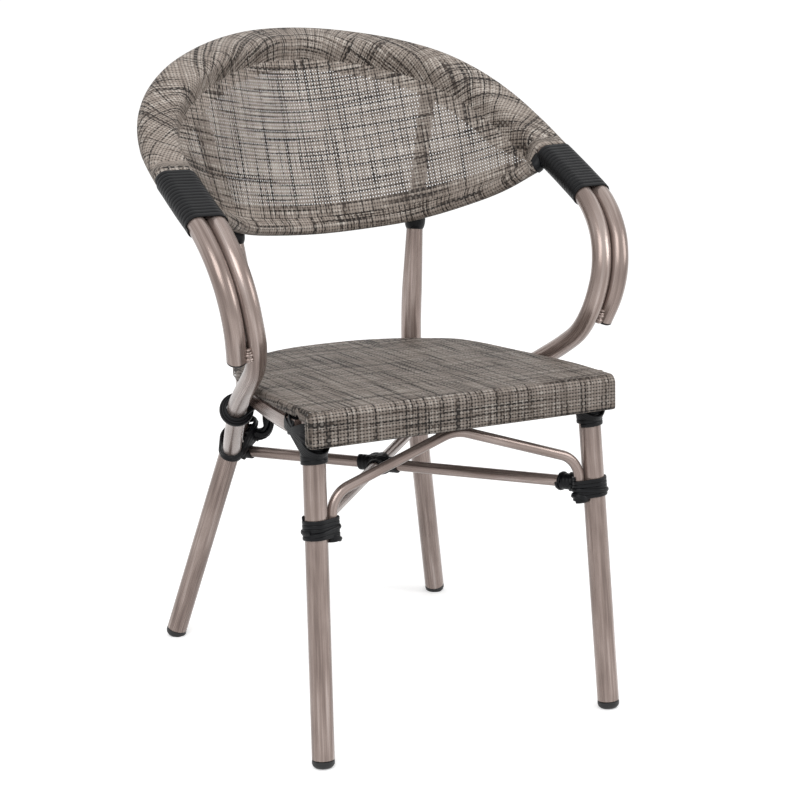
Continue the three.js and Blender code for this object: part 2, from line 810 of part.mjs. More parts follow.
// Back sling: a tunnel round both hoop tubes, a panel, and a tunnel round the back rail
const slingFrom = slingShare;
const slingTo = 1 - slingFrom;
const slingShares = hoopShares.slice(2, -2);
const tunnelRadius = ARM_RADIUS + FIT_GAP;
const slingRadius = tunnelRadius + SLING_THICKNESS;
const railTunnelRadius = BACK_RAIL_RADIUS + FIT_GAP;
const railSleeveRadius = railTunnelRadius + SLING_THICKNESS;

const railFrom = BACK_RAIL_TRIM_SHARE;

function panelPlace(u, v, w) {
  const top = hoopInner(THREE.MathUtils.lerp(slingFrom, slingTo, u));
  const low = backRailCurve.getPointAt(THREE.MathUtils.lerp(railFrom, 1 - railFrom, u));
  const frame = hoopFrame(THREE.MathUtils.lerp(slingFrom, slingTo, u));
  const fall = direction(top, low);
  const through = fall.clone().cross(frame.ahead).normalize();
  return top.lerp(low, v).addScaledVector(through, w * BACK_PANEL_THICKNESS);
}
const railInside = [];
const railSteps = backRailStations.length - 1;
for (let step = 0; step <= railSteps; step += 1) {
  const share = THREE.MathUtils.lerp(railFrom, 1 - railFrom, step / railSteps);
  railInside.push(backRailCurve.getPointAt(share));
}
const hemTop = cut(
  pairSkin(slingShares, slingRadius),
  pairSkin(hoopShares.slice(1, -1), tunnelRadius),
);
add("back_sling_hem_top", hemTop, "mesh");
const hemTopSpace = pairSkin(hoopShares.slice(1, -1), slingRadius + FIT_GAP);
const railSleeveSpace = rod(
  [backRailCurve.getPointAt(0), ...railInside, backRailCurve.getPointAt(1)],
  railSleeveRadius + FIT_GAP,
  BRACE_SIDES,
);
const panel = cut(bentBox(PANEL_COLUMNS, PANEL_ROWS, panelPlace), hemTopSpace, railSleeveSpace);
add("back_sling", panel, "mesh");
const hemBottom = cut(
  rod(railInside, railSleeveRadius, BRACE_SIDES),
  rod(backRailStations, railTunnelRadius, BRACE_SIDES),
  hemTopSpace,
);
add("back_sling_hem_bottom", hemBottom, "mesh");
const slingSpace = bentBox(PANEL_COLUMNS, PANEL_ROWS, (u, v, w) => {
  const wider = THREE.MathUtils.lerp(-PANEL_SPACE_SHARE, 1 + PANEL_SPACE_SHARE, u);
  return panelPlace(wider, v, w * (1 + (2 * FIT_GAP) / BACK_PANEL_THICKNESS));
});

const envelopeEnd = wrapBackShare + ARM_WRAP_OVERRUN / hoopLength;
const armWrapEnvelope = pairSkin(
  hoopStations(wrapFrontShare, envelopeEnd, TUBE_STEP, (share) => share),
  ARM_RADIUS + WOUND_GAP + FIT_GAP + RATTAN_THICKNESS,
);
const armWrapEnvelopeLeft = mirrorGeometry(armWrapEnvelope);
function mirrorGeometry(geometry) {
  const copy = geometry.clone();
  copy.scale(-1, 1, 1);
  copy.setIndex(Array.from(copy.index.array).reverse());
  return copy;
}
const backRail = cut(
  rod(backRailStations, BACK_RAIL_RADIUS, BRACE_SIDES),
  armWrapEnvelope,
  armWrapEnvelopeLeft,
);
add("back_bottom_rail", backRail, "tube");
for (const side of Object.keys(SIDES)) {
  const end = SIDES[side] > 0 ? 0 : 1;
  const skinShare = railFrom - BACK_RAIL_SKIN_GAP_SHARE;
  const inside = SIDES[side] > 0 ? skinShare : 1 - skinShare;
  const stations = [backRailCurve.getPointAt(inside), backRailCurve.getPointAt(end)];
  const wrap = cut(
    rod(stations, railTunnelRadius + RATTAN_THICKNESS, WRAP_SIDES),
    rod(backRailStations, railTunnelRadius, BRACE_SIDES),
    armWrapEnvelope,
    armWrapEnvelopeLeft,
    slingSpace,
  );
  add(`rail_end_wrap_${side}`, wrap, "rattan");
}

// Front legs, with their tops under the seat
const fall = THREE.MathUtils.degToRad(SEAT_FALL_DEGREES);
function seatTopAt(depth) {
  return SEAT_HEIGHT - (depth - SEAT_FRONT_DEPTH) * Math.tan(fall);
}
const frontLegTop = seatTopAt(FRONT_LEG_LEAN_BACK) - SEAT_EDGE_DROP - RATTAN_THICKNESS;
const glideTop = GLIDE_HEIGHT;
const rearSpine = {};
const frontLegSpace = {};
const rearLegSpace = {};
for (const side of Object.keys(SIDES)) {
  const sign = SIDES[side];
  const foot = along(frontLegAt(sign, 0), frontLegAt(sign, LEAN_GAUGE), glideTop);
  const top = frontLegAt(sign, frontLegTop);
  add(`front_leg_${side}`, tube([foot, top], LEG_RADIUS), "tube");
  frontLegSpace[side] = rod([foot, along(top, foot, -FIT_GAP)], LEG_RADIUS + FIT_GAP);
  addGlide(`front_glide_${side}`, frontLegAt(sign, 0), frontLegAt(sign, LEAN_GAUGE));
}

// Rear legs: bent under the seat, swaged, and bent back again behind the sling
const postTopShare = hoopShareAtMiddleWidth(POST_TOP_HALF_SPAN);
function hoopShareAtMiddleWidth(half) {
  let share = 0.5;
  while (share > 0) {
    const { centre, inward } = hoopFrame(share);
    if (centre.addScaledVector(inward, ARM_TUBE_PITCH / 2).x > half) return share;
    share -= 0.5 / FINE_SAMPLES;
  }
  return share;
}
for (const side of Object.keys(SIDES)) {
  const sign = SIDES[side];
  const foot = along(rearLegAt(sign, 0), rearLegAt(sign, REAR_BEND_HEIGHT), glideTop);
  const frame = hoopFrame(postTopShare);
  const top = frame.centre.addScaledVector(frame.inward, ARM_TUBE_PITCH / 2);
  top.x *= sign;
  const corners = [foot, rearLegAt(sign, REAR_BEND_HEIGHT), postAt(sign, POST_NECK_HEIGHT), top];
  const stations = bentPath(corners, [REAR_BEND_RADIUS, POST_NECK_RADIUS]);
  rearSpine[sign] = new Spine(stations);
  const near = slingShares.filter((share) => Math.abs(share - postTopShare) < POST_TOP_NEAR_SHARE);
  const envelope = pairSkin(near, slingRadius + FIT_GAP);
  const cutter = sign > 0 ? envelope : mirrorGeometry(envelope);
  const leg = cut(taper(tube(stations, LEG_RADIUS), sign), cutter, slingSpace);
  add(`rear_leg_${side}`, leg, "tube");
  rearLegSpace[side] = taper(rod(stations, LEG_RADIUS + FIT_GAP), sign);
  addGlide(`rear_glide_${side}`, rearLegAt(sign, 0), rearLegAt(sign, REAR_BEND_HEIGHT));
}

// A glide: a spigot in the tube's bore, a rim as wide as the tube, and a foot cut flat
function addGlide(name, floorPlace, above) {
  const rim = LEG_RADIUS;
  const spigot = boreClear(LEG_RADIUS);
  const profile = [
    new THREE.Vector2(0, -GLIDE_HEIGHT - GLIDE_DOME / 2),
    new THREE.Vector2(rim * 0.55, -GLIDE_HEIGHT - GLIDE_DOME / 4),
    new THREE.Vector2(rim * 0.85, -GLIDE_HEIGHT + GLIDE_DOME / 3),
    new THREE.Vector2(rim, -GLIDE_HEIGHT + GLIDE_DOME),
    new THREE.Vector2(rim, -FIT_GAP),
    new THREE.Vector2(spigot, -FIT_GAP),
    new THREE.Vector2(spigot, GLIDE_SPIGOT),
    new THREE.Vector2(0, GLIDE_SPIGOT),
  ];
  const holder = new THREE.Mesh(new THREE.LatheGeometry(profile, TUBE_SIDES));
  pointAlong(holder, floorPlace, above, GLIDE_HEIGHT);
  holder.updateMatrix();
  const body = holder.geometry.clone().applyMatrix4(holder.matrix);
  const block = 4 * LEG_DIAMETER;
  const floor = new THREE.BoxGeometry(block, block, block);
  floor.translate(floorPlace.x, floorPlace.y, -block / 2);
  add(name, cut(body, floor), "plastic");
}

// Seat: everything here lies in the seat's own frame, y back from the front face, z up from the top
const seat = new THREE.Group();
seat.position.set(0, SEAT_FRONT_DEPTH, SEAT_HEIGHT);
seat.rotation.x = -fall;
chair.add(seat);
const outlineRight = SEAT_OUTLINE_SHARES.map(([across, back]) =>
  point(SEAT_HALF_WIDTH * across, SEAT_DEPTH * back, 0),
);
const outlineLeft = mirrored(outlineRight.slice(0, -1)).reverse();
const outlineCurve = smoothCurve([...outlineRight, ...outlineLeft]);
outlineCurve.arcLengthDivisions = FINE_SAMPLES;

function outlinePlace(share, inset) {
  const place = outlineCurve.getPointAt(share);
  const ahead = outlineCurve.getTangentAt(share);
  return place.addScaledVector(point(-ahead.y, ahead.x, 0), inset);
}

function seatShape(inset, front) {
  const corners = [new THREE.Vector2(SEAT_HALF_WIDTH - inset, front)];
  const steps = 26;
  for (let step = 0; step <= steps; step += 1) {
    const place = outlinePlace(step / steps, inset);
    corners.push(new THREE.Vector2(place.x, place.y));
  }
  corners.push(new THREE.Vector2(-SEAT_HALF_WIDTH + inset, front));
  return new THREE.Shape(corners);
}

function slab(shape, low, high) {
  const geometry = new THREE.ExtrudeGeometry(shape, { depth: high - low, bevelEnabled: false });
  return geometry.translate(0, 0, low);
}

// A section in y and z, carried across the seat
function acrossSeat(outline, half) {
  const shape = new THREE.Shape(outline);
  const geometry = new THREE.ExtrudeGeometry(shape, { depth: 2 * half, bevelEnabled: false });
  geometry.translate(0, 0, -half);
  const turn = new THREE.Matrix4().makeBasis(point(0, 1, 0), point(0, 0, 1), X_AXIS);
  return geometry.applyMatrix4(turn);
}

function noseOutline(inset, back, bottom) {
  const radius = SEAT_NOSE_RADIUS - inset;
  const outline = [new THREE.Vector2(inset, bottom)];
  for (let step = 0; step <= 4; step += 1) {
    const angle = Math.PI - (Math.PI / 2) * (step / 4);
    outline.push(
      new THREE.Vector2(
        SEAT_NOSE_RADIUS + radius * Math.cos(angle),
        -SEAT_NOSE_RADIUS + radius * Math.sin(angle),
      ),
    );
  }
  outline.push(new THREE.Vector2(back, -inset));
  outline.push(new THREE.Vector2(back, bottom));
  return outline.reverse();
}

const railClear = SLING_THICKNESS + FIT_GAP;
const frontRailBack = railClear + SEAT_FRONT_RAIL_DEPTH;
const topUnderside = -SLING_THICKNESS - SEAT_TOP_RELIEF;
const slingCloth = join(
  slab(seatShape(0, SEAT_NOSE_RADIUS), -SEAT_EDGE_DROP, 0),
  acrossSeat(noseOutline(0, frontRailBack + 2 * railClear, -SEAT_APRON_DROP), SEAT_HALF_WIDTH),
);
const seatSling = cut(
  slingCloth,
  slab(
    seatShape(SLING_THICKNESS, railClear),
    -SEAT_EDGE_DROP - CUT_OVERRUN,
    topUnderside,
  ),
  acrossSeat(
    noseOutline(
      SLING_THICKNESS,
      frontRailBack + 2 * railClear + CUT_OVERRUN,
      -SEAT_APRON_DROP + SLING_THICKNESS,
    ),
    SEAT_HALF_WIDTH - SLING_THICKNESS,
  ),
);
add("seat_sling", seatSling, "mesh", seat);

const frontRail = acrossSeat(
  noseOutline(railClear, frontRailBack, -SEAT_APRON_DROP + railClear),
  SEAT_HALF_WIDTH - railClear,
);
add("seat_front_rail", frontRail, "tube", seat);

// A seat rail's section: a round tube, a neck, a lip, a groove for the mesh, and a top flange
function seatRailShape() {
  const outline = [];
  const neck = SEAT_RAIL_NECK / 2;
  const flange = SEAT_RAIL_FLANGE / 2;
  const start = Math.acos(neck / SEAT_RAIL_RADIUS);
  const arcSteps = 8;
  for (let step = 0; step <= arcSteps; step += 1) {
    const angle = Math.PI - start + ((Math.PI + 2 * start) * step) / arcSteps;
    const place = new THREE.Vector2(Math.cos(angle), Math.sin(angle));
    outline.push(place.multiplyScalar(SEAT_RAIL_RADIUS));
  }
  const top = SEAT_RAIL_DROP + topUnderside - FIT_GAP;
  outline.push(new THREE.Vector2(neck, SEAT_RAIL_LIP_RISE));
  outline.push(new THREE.Vector2(flange, SEAT_RAIL_LIP_RISE));
  outline.push(new THREE.Vector2(flange, SEAT_RAIL_LIP_RISE + SEAT_RAIL_LIP));
  outline.push(new THREE.Vector2(neck, SEAT_RAIL_LIP_RISE + SEAT_RAIL_LIP));
  outline.push(new THREE.Vector2(neck, SEAT_RAIL_GROOVE_RISE));
  outline.push(new THREE.Vector2(flange, SEAT_RAIL_GROOVE_RISE));
  outline.push(new THREE.Vector2(flange, top));
  outline.push(new THREE.Vector2(-flange, top));
  outline.push(new THREE.Vector2(-flange, SEAT_RAIL_GROOVE_RISE));
  outline.push(new THREE.Vector2(-neck, SEAT_RAIL_GROOVE_RISE));
  outline.push(new THREE.Vector2(-neck, SEAT_RAIL_LIP_RISE + SEAT_RAIL_LIP));
  outline.push(new THREE.Vector2(-flange, SEAT_RAIL_LIP_RISE + SEAT_RAIL_LIP));
  outline.push(new THREE.Vector2(-flange, SEAT_RAIL_LIP_RISE));
  outline.push(new THREE.Vector2(-neck, SEAT_RAIL_LIP_RISE));
  const shape = new THREE.Shape(outline);
  shape.holes.push(new THREE.Path(polygon(SEAT_RAIL_RADIUS - TUBE_WALL, BORE_SIDES).reverse()));
  return shape;
}

function seatRail(shape, { stations, startAhead, endAhead }) {
  const lowered = stations.map((place) => point(place.x, place.y, -SEAT_RAIL_DROP));
  return sweepUpright(shape, lowered, startAhead, endAhead);
}

function mirroredRun({ stations, startAhead, endAhead }) {
  const [start, end] = mirrored([startAhead, endAhead]);
  return { stations: mirrored(stations), startAhead: start, endAhead: end };
}

const sideRailEnd = 0.5 * outlineShareAt(SEAT_RAIL_JOINT_SHARE);
function outlineShareAt(backShare) {
  for (let sample = 0; sample <= FINE_SAMPLES; sample += 1) {
    const share = (0.5 * sample) / FINE_SAMPLES;
    if (outlineCurve.getPointAt(share).y > backShare * SEAT_DEPTH) return 2 * share;
  }
  return 1;
}
const outlineLength = outlineCurve.getLength();
const railFront = frontLegAt(1, frontLegTop).y + LEG_RADIUS + 2 * FIT_GAP;
const sideStations = [point(SEAT_HALF_WIDTH - SEAT_RAIL_INSET, railFront - SEAT_FRONT_DEPTH, 0)];
for (let step = 1; step <= SIDE_RAIL_STEPS; step += 1) {
  const part = step / SIDE_RAIL_STEPS;
  const share = THREE.MathUtils.lerp(SIDE_RAIL_CURVE_SHARE, sideRailEnd, part);
  sideStations.push(outlinePlace(share, SEAT_RAIL_INSET));
}
const sideRailRun = {
  stations: sideStations,
  startAhead: point(0, 1, 0),
  endAhead: outlineCurve.getTangentAt(sideRailEnd),
};
const rearStations = [];
const rearRailStart = sideRailEnd + (1.5 * FIT_GAP) / outlineLength;
for (let step = 0; step <= REAR_RAIL_STEPS; step += 1) {
  const part = step / REAR_RAIL_STEPS;
  const share = THREE.MathUtils.lerp(rearRailStart, 1 - rearRailStart, part);
  rearStations.push(outlinePlace(share, SEAT_RAIL_INSET));
}
const rearRailRun = {
  stations: rearStations,
  startAhead: outlineCurve.getTangentAt(sideRailEnd),
  endAhead: outlineCurve.getTangentAt(1 - sideRailEnd),
};
const seatRailRuns = { right: sideRailRun, left: mirroredRun(sideRailRun), rear: rearRailRun };
seat.updateMatrix();
function onSeat(place) {
  return point(place.x, place.y, -SEAT_RAIL_DROP).applyMatrix4(seat.matrix);
}
const rightRailSpine = new Spine([...sideStations, ...rearStations].map(onSeat));
function seatRailAtDepth(depth) {
  return rightRailSpine.atDepth(depth);
}
for (const place of Object.keys(seatRailRuns)) {
  add(`seat_rail_${place}`, seatRail(seatRailShape(), seatRailRuns[place]), "tube", seat);
}

// Arms: the outer tube's front part, and the inner tube's return run
const outerArm = hoopStations(0, jointShare - gapShare / 2, TUBE_STEP, outerPlace);
const offsetPart = hoopStations(0, jointShare - gapShare / 2, TUBE_STEP, hoopInner);
const returnTop = hoopPlace(ARM_RETURN_TOP_SHARES);
const offsetFrom = returnTop.z + RETURN_MEETS_OFFSET_RISE;
const offsetArm = offsetPart.filter((place) => place.z > offsetFrom);
const endAngle = THREE.MathUtils.degToRad(ARM_END_OUTWARD_DEGREES);
const endReach = LEG_RADIUS + ARM_RADIUS + ARM_END_GAP;
const returnEnd = rearLegAt(1, ARM_END_HEIGHT);
returnEnd.x += endReach * Math.sin(endAngle);
returnEnd.y -= endReach * Math.cos(endAngle);
const seatPass = seatRailAtDepth(ARM_PASS_DEPTH);
seatPass.x += SEAT_RAIL_RADIUS + ARM_RADIUS + ARM_PASS_GAP;
const innerArmCurve = smoothCurve([
  ...ARM_RETURN_LOW_SHARES.map((shares) => lerpWays(returnEnd, seatPass, shares)),
  ...ARM_RETURN_HIGH_SHARES.map((shares) => lerpWays(seatPass, returnTop, shares)),
  ...offsetArm,
]);
const innerArm = spacedStations(innerArmCurve, TUBE_STEP);
const armStations = {
  right: { outer: outerArm, inner: innerArm },
  left: { outer: mirrored(outerArm), inner: mirrored(innerArm) },
};
for (const side of Object.keys(SIDES)) {
  const { outer, inner } = armStations[side];
  add(`arm_tube_outer_${side}`, tube(outer, ARM_RADIUS), "tube");
  add(`arm_tube_inner_${side}`, tube(inner, ARM_RADIUS), "tube");
  const profile = [
    new THREE.Vector2(0, -ARM_PLUG_THICKNESS),
    new THREE.Vector2(ARM_RADIUS - ARM_PLUG_THICKNESS / 2, -ARM_PLUG_THICKNESS),
    new THREE.Vector2(ARM_RADIUS, -ARM_PLUG_THICKNESS / 2),
    new THREE.Vector2(ARM_RADIUS, 0),
    new THREE.Vector2(boreClear(ARM_RADIUS), 0),
    new THREE.Vector2(boreClear(ARM_RADIUS), ARM_PLUG_SPIGOT),
    new THREE.Vector2(0, ARM_PLUG_SPIGOT),
  ];
  const plug = add(`arm_end_plug_${side}`, new THREE.LatheGeometry(profile, TUBE_SIDES), "plastic");
  pointAlong(plug, outer[0], outer[1], -FIT_GAP);
}

// Front arch: up beside each front leg, over a shoulder, and on to a peak under the seat
const archSpread = LEG_RADIUS + ARCH_RADIUS + FIT_GAP;
function archFoot(sign, height) {
  const leg = frontLegAt(sign, height);
  return point(leg.x - sign * archSpread, leg.y, height);
}
const archCorners = [
  archFoot(-1, ARCH_FOOT_HEIGHT),
  archFoot(-1, ARCH_SHOULDER_HEIGHT),
  point(0, ARCH_PEAK_DEPTH, ARCH_PEAK_HEIGHT),
  archFoot(1, ARCH_SHOULDER_HEIGHT),
  archFoot(1, ARCH_FOOT_HEIGHT),
];
const archRadii = [ARCH_SHOULDER_RADIUS, ARCH_PEAK_RADIUS, ARCH_SHOULDER_RADIUS];
const archStations = bentPath(archCorners, archRadii);
add("front_arch", rod(archStations, ARCH_RADIUS, BRACE_SIDES), "tube");

// Front leg windings: rattan round each front leg and the foot of the arch
const legCircles = [
  { centre: new THREE.Vector2(0, 0), radius: LEG_RADIUS + 2 * FIT_GAP },
  { centre: new THREE.Vector2(archSpread, 0), radius: ARCH_RADIUS + 2 * FIT_GAP },
];
const legPitch = RATTAN_WIDTH + RATTAN_TURN_GAP;
const legWrapLength = LEG_WRAP_TURNS * legPitch + RATTAN_WIDTH;
const archSpace = rod(archStations, ARCH_RADIUS + FIT_GAP, BRACE_SIDES);
const frontWrapSpace = {};
for (const side of Object.keys(SIDES)) {
  const sign = SIDES[side];
  const low = frontLegAt(sign, FRONT_WRAP_HEIGHT - legWrapLength / 2);
  const up = direction(low, frontLegAt(sign, LEAN_GAUGE));
  const inward = X_AXIS.clone().multiplyScalar(-sign).addScaledVector(up, sign * up.x).normalize();
  const over = up.clone().cross(inward);
  const frameAt = (flat, travel) =>
    low
      .clone()
      .addScaledVector(up, travel)
      .addScaledVector(inward, flat.x)
      .addScaledVector(over, flat.y);
  const wound = winding(legCircles, LEG_WRAP_TURNS, LEG_WRAP_STEPS, legPitch, frameAt);
  add(`front_leg_wrap_${side}`, wound, "rattan");
  frontWrapSpace[side] = windingSpace(legCircles, 2 * LEG_WRAP_STEPS, frameAt, legWrapLength);
}

// The space a winding fills, with the gap round it
function windingSpace(circles, steps, frameAt, length) {
  const turn = beltTurn(circles, steps);
  const rise = RATTAN_THICKNESS + FIT_GAP;
  const rings = [-FIT_GAP, length + FIT_GAP].map((travel) =>
    turn.map(({ centre, normal, inner }) =>
      frameAt(centre.clone().addScaledVector(normal, inner + rise), travel),
    ),
  );
  return ringsGeometry(rings);
}

// A binding of many hidden turns: a skin round the tubes that meet, less the room they need
function binding(runs, thickness, ...cutters) {
  return cut(bindingHull(runs, thickness), ...cutters);
}

function bindingHull(runs, thickness) {
  const rods = runs.map(({ from, to, radius }) =>
    toSolid(rod([from, to], radius + FIT_GAP + thickness)),
  );
  return toGeometry(wasm.Manifold.hull(rods));
}

// Crossed braces: one runs through, and the other meets it from both sides
const braceFront = {
  left: frontLegAt(-1, BRACE_FRONT_HEIGHT),
  right: frontLegAt(1, BRACE_FRONT_HEIGHT),
};
const braceRear = {
  left: rearLegAt(-1, BRACE_REAR_HEIGHT),
  right: rearLegAt(1, BRACE_REAR_HEIGHT),
};
const crossShare = braceRear.right.x / (braceRear.right.x + braceFront.right.x);
const crossing = braceRear.left.clone().lerp(braceFront.right, crossShare);

const throughBrace = [braceRear.left, braceFront.right];
const throughSpace = rod(throughBrace, BRACE_RADIUS + FIT_GAP, BRACE_SIDES);
const frontHalf = [braceFront.left, crossing];
const rearHalf = [braceRear.right, crossing];
const bracesSpace = {
  left: rod(throughBrace, BRACE_RADIUS + FIT_GAP, BRACE_SIDES),
  right: rod(rearHalf, BRACE_RADIUS + FIT_GAP, BRACE_SIDES),
};
const legSpaces = [frontWrapSpace.left, frontWrapSpace.right, rearLegSpace.left, rearLegSpace.right];
const throughSolid = rod(throughBrace, BRACE_RADIUS, BRACE_SIDES);
add("cross_brace", cut(throughSolid, ...legSpaces), "tube");
const frontHalfSolid = rod(frontHalf, BRACE_RADIUS, BRACE_SIDES);
add("cross_brace_front_half", cut(frontHalfSolid, ...legSpaces, throughSpace), "tube");
const rearHalfSolid = rod(rearHalf, BRACE_RADIUS, BRACE_SIDES);
add("cross_brace_rear_half", cut(rearHalfSolid, ...legSpaces, throughSpace), "tube");

// The binding where the braces cross
const crossReach = CROSS_WRAP_LENGTH / 2;
const frontHalfSpace = rod(frontHalf, BRACE_RADIUS + FIT_GAP, BRACE_SIDES);
const crossWrap = binding(
  [
    {
      from: along(crossing, braceRear.left, crossReach),
      to: along(crossing, braceFront.right, crossReach),
      radius: BRACE_RADIUS,
    },
    {
      from: along(crossing, braceFront.left, crossReach),
      to: along(crossing, braceRear.right, crossReach),
      radius: BRACE_RADIUS,
    },
  ],
  CROSS_WRAP_THICKNESS,
  throughSpace,
  frontHalfSpace,
  bracesSpace.right,
);
add("cross_wrap", crossWrap, "rattan");


// Room for a seat rail: its tube, its neck and its flanges
function railSpace(run) {
  const neck = SEAT_RAIL_NECK / 2 + FIT_GAP;
  const flange = SEAT_RAIL_FLANGE / 2 + FIT_GAP;
  const lip = SEAT_RAIL_LIP_RISE - FIT_GAP;
  const blocks = [
    [neck, 0, lip],
    [flange, lip - FIT_GAP, SEAT_RAIL_DROP],
  ].map(([half, low, high]) => [
    new THREE.Vector2(-half, low),
    new THREE.Vector2(half, low),
    new THREE.Vector2(half, high),
    new THREE.Vector2(-half, high),
  ]);
  const round = polygon(SEAT_RAIL_RADIUS + 2 * FIT_GAP, TUBE_SIDES);
  const pieces = [round, ...blocks].map((corners) => seatRail(new THREE.Shape(corners), run));
  return join(...pieces).applyMatrix4(seat.matrix);
}
const seatRailSpace = {
  right: railSpace(seatRailRuns.right),
  left: railSpace(seatRailRuns.left),
  rear: railSpace(seatRailRuns.rear),
};
const seatSlingSpace = slab(seatShape(-FIT_GAP, -FIT_GAP), -SEAT_EDGE_DROP - FIT_GAP, FIT_GAP);
seatSlingSpace.applyMatrix4(seat.matrix);

for (const side of Object.keys(SIDES)) {
  const sign = SIDES[side];
  const facing = (places) => (sign > 0 ? places : mirrored(places));

  // At the top of a front leg, over the front end of the seat rail
  const railRun = seatRailRuns[side].stations.map(onSeat);
  const railTip = railRun.slice(0, 2);
  const legLow = frontLegAt(sign, FRONT_TOP_WRAP_HEIGHT - FRONT_TOP_WRAP_LENGTH / 2);
  const legHigh = frontLegAt(sign, FRONT_TOP_WRAP_HEIGHT + FRONT_TOP_WRAP_LENGTH / 2);
  const topWrap = binding(
    [
      { from: legLow, to: legHigh, radius: LEG_RADIUS },
      {
        from: railTip[0],
        to: along(...railTip, FRONT_TOP_WRAP_REACH),
        radius: SEAT_RAIL_RADIUS,
      },
    ],
    RATTAN_THICKNESS,
    frontLegSpace[side],
    seatRailSpace[side],
    seatSlingSpace,
  );
  add(`front_top_wrap_${side}`, topWrap, "rattan");

  // On the brace's front end, beside the leg's winding
  const braceEnd = side === "right" ? [braceFront.right, crossing] : [braceFront.left, crossing];
  const wrapStart = LEG_DIAMETER;
  const endWrap = cut(
    rod(
      [along(...braceEnd, BRACE_RADIUS), along(...braceEnd, wrapStart + BRACE_END_WRAP_LENGTH)],
      BRACE_RADIUS + FIT_GAP + RATTAN_THICKNESS,
      WRAP_SIDES,
    ),
    frontWrapSpace[side],
    side === "right" ? throughSpace : frontHalfSpace,
    archSpace,
  );
  add(`brace_end_wrap_${side}`, endWrap, "rattan");

  // Round a rear leg with the ends of the arm tube and the brace
  const wrapLow = rearLegAt(sign, REAR_WRAP_HEIGHT - REAR_WRAP_LENGTH / 2);
  const wrapHigh = rearLegAt(sign, REAR_WRAP_HEIGHT + REAR_WRAP_LENGTH / 2);
  const armEnd = facing(innerArm.slice(0, 2));
  const armSpace = rod(
    [along(armEnd[0], armEnd[1], -FIT_GAP), ...facing(innerArm).slice(1)],
    ARM_RADIUS + FIT_GAP,
  );
  const rearRuns = [
    { from: wrapLow, to: wrapHigh, radius: LEG_RADIUS },
    { from: armEnd[0], to: along(armEnd[0], armEnd[1], REAR_WRAP_REACH / 2), radius: ARM_RADIUS },
    {
      from: along(braceRear[side], crossing, LEG_RADIUS),
      to: along(braceRear[side], crossing, REAR_WRAP_REACH),
      radius: BRACE_RADIUS,
    },
  ];
  const rearSpaces = [rearLegSpace[side], armSpace, bracesSpace[side]];
  const rearWrap = binding(rearRuns, REAR_WRAP_THICKNESS, ...rearSpaces);
  add(`rear_leg_wrap_${side}`, rearWrap, "rattan");

  // A wound tie from there up to the seat's rear rail
  const knee = point(sign * SEAT_TIE_HALF_SPAN, SEAT_TIE_DEPTH, SEAT_TIE_KNEE);
  const tieTop = knee.clone();
  tieTop.z = seatTopAt(SEAT_TIE_DEPTH) - SEAT_RAIL_DROP;
  const tieRun = bentPath([rearLegAt(sign, SEAT_TIE_LOW), knee, tieTop], [SEAT_TIE_BEND]);
  const tie = cut(
    rod(tieRun, SEAT_TIE_DIAMETER / 2, BRACE_SIDES),
    bindingHull(rearRuns, REAR_WRAP_THICKNESS + FIT_GAP),
    rearLegSpace[side],
    seatRailSpace.rear,
    bracesSpace[side],
  );
  add(`seat_tie_${side}`, tie, "rattan");

  // The ring that ties the arm tube to the seat rail
  const armRun = facing(innerArm);
  const ringDepth = ARM_PASS_DEPTH + ARM_RING_BEHIND_PASS;
  const onArm = armRun.findIndex((place) => place.y < ringDepth);
  const armFrom = armRun[onArm - 1];
  const armTo = armRun[onArm];
  const ringShare = (armFrom.y - ringDepth) / (armFrom.y - armTo.y);
  const ringCentre = armFrom.clone().lerp(armTo, ringShare);
  const railCentre = seatRailAtDepth(ringDepth);
  railCentre.x *= sign;
  const strap = ringCentre.clone().lerp(railCentre, ARM_RING_STRAP_SHARE);
  const ring = binding(
    [
      {
        from: along(ringCentre, armFrom, ARM_RING_LENGTH / 2),
        to: along(ringCentre, armTo, ARM_RING_LENGTH / 2),
        radius: ARM_RADIUS + ARM_RING_THICKNESS - RATTAN_THICKNESS,
      },
      {
        from: along(strap, armFrom.clone().sub(ringCentre).add(strap), ARM_RING_LENGTH / 2),
        to: along(strap, armTo.clone().sub(ringCentre).add(strap), ARM_RING_LENGTH / 2),
        radius: ARM_RING_STRAP_RADIUS,
      },
    ],
    RATTAN_THICKNESS,
    armSpace,
    seatRailSpace[side],
    seatSlingSpace,
  );
  add(`arm_rail_wrap_${side}`, ring, "rattan");

  // Round the post, under the back
  const collarTop = POST_NECK_HEIGHT - POST_WRAP_BELOW_NECK;
  const collar = cut(
    rod(
      [postAt(sign, collarTop - POST_WRAP_LENGTH), postAt(sign, collarTop)],
      LEG_RADIUS + FIT_GAP,
      WRAP_SIDES,
    ),
    rearLegSpace[side],
    slingSpace,
    railSleeveSpace,
  );
  add(`post_wrap_${side}`, collar, "rattan");
}

// The origin goes under the middle of the chair, on the floor
chair.updateMatrixWorld(true);
const bounds = new THREE.Box3().setFromObject(chair);
const middle = bounds.getCenter(new THREE.Vector3());
chair.position.set(-middle.x, -middle.y, -bounds.min.z);
const whole = new THREE.Group();
whole.name = "bistro_chair";
whole.add(chair);

export default whole;
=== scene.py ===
"""Stacking bistro armchair: bamboo-look aluminium tubes, woven mesh seat and back, black rattan bindings."""

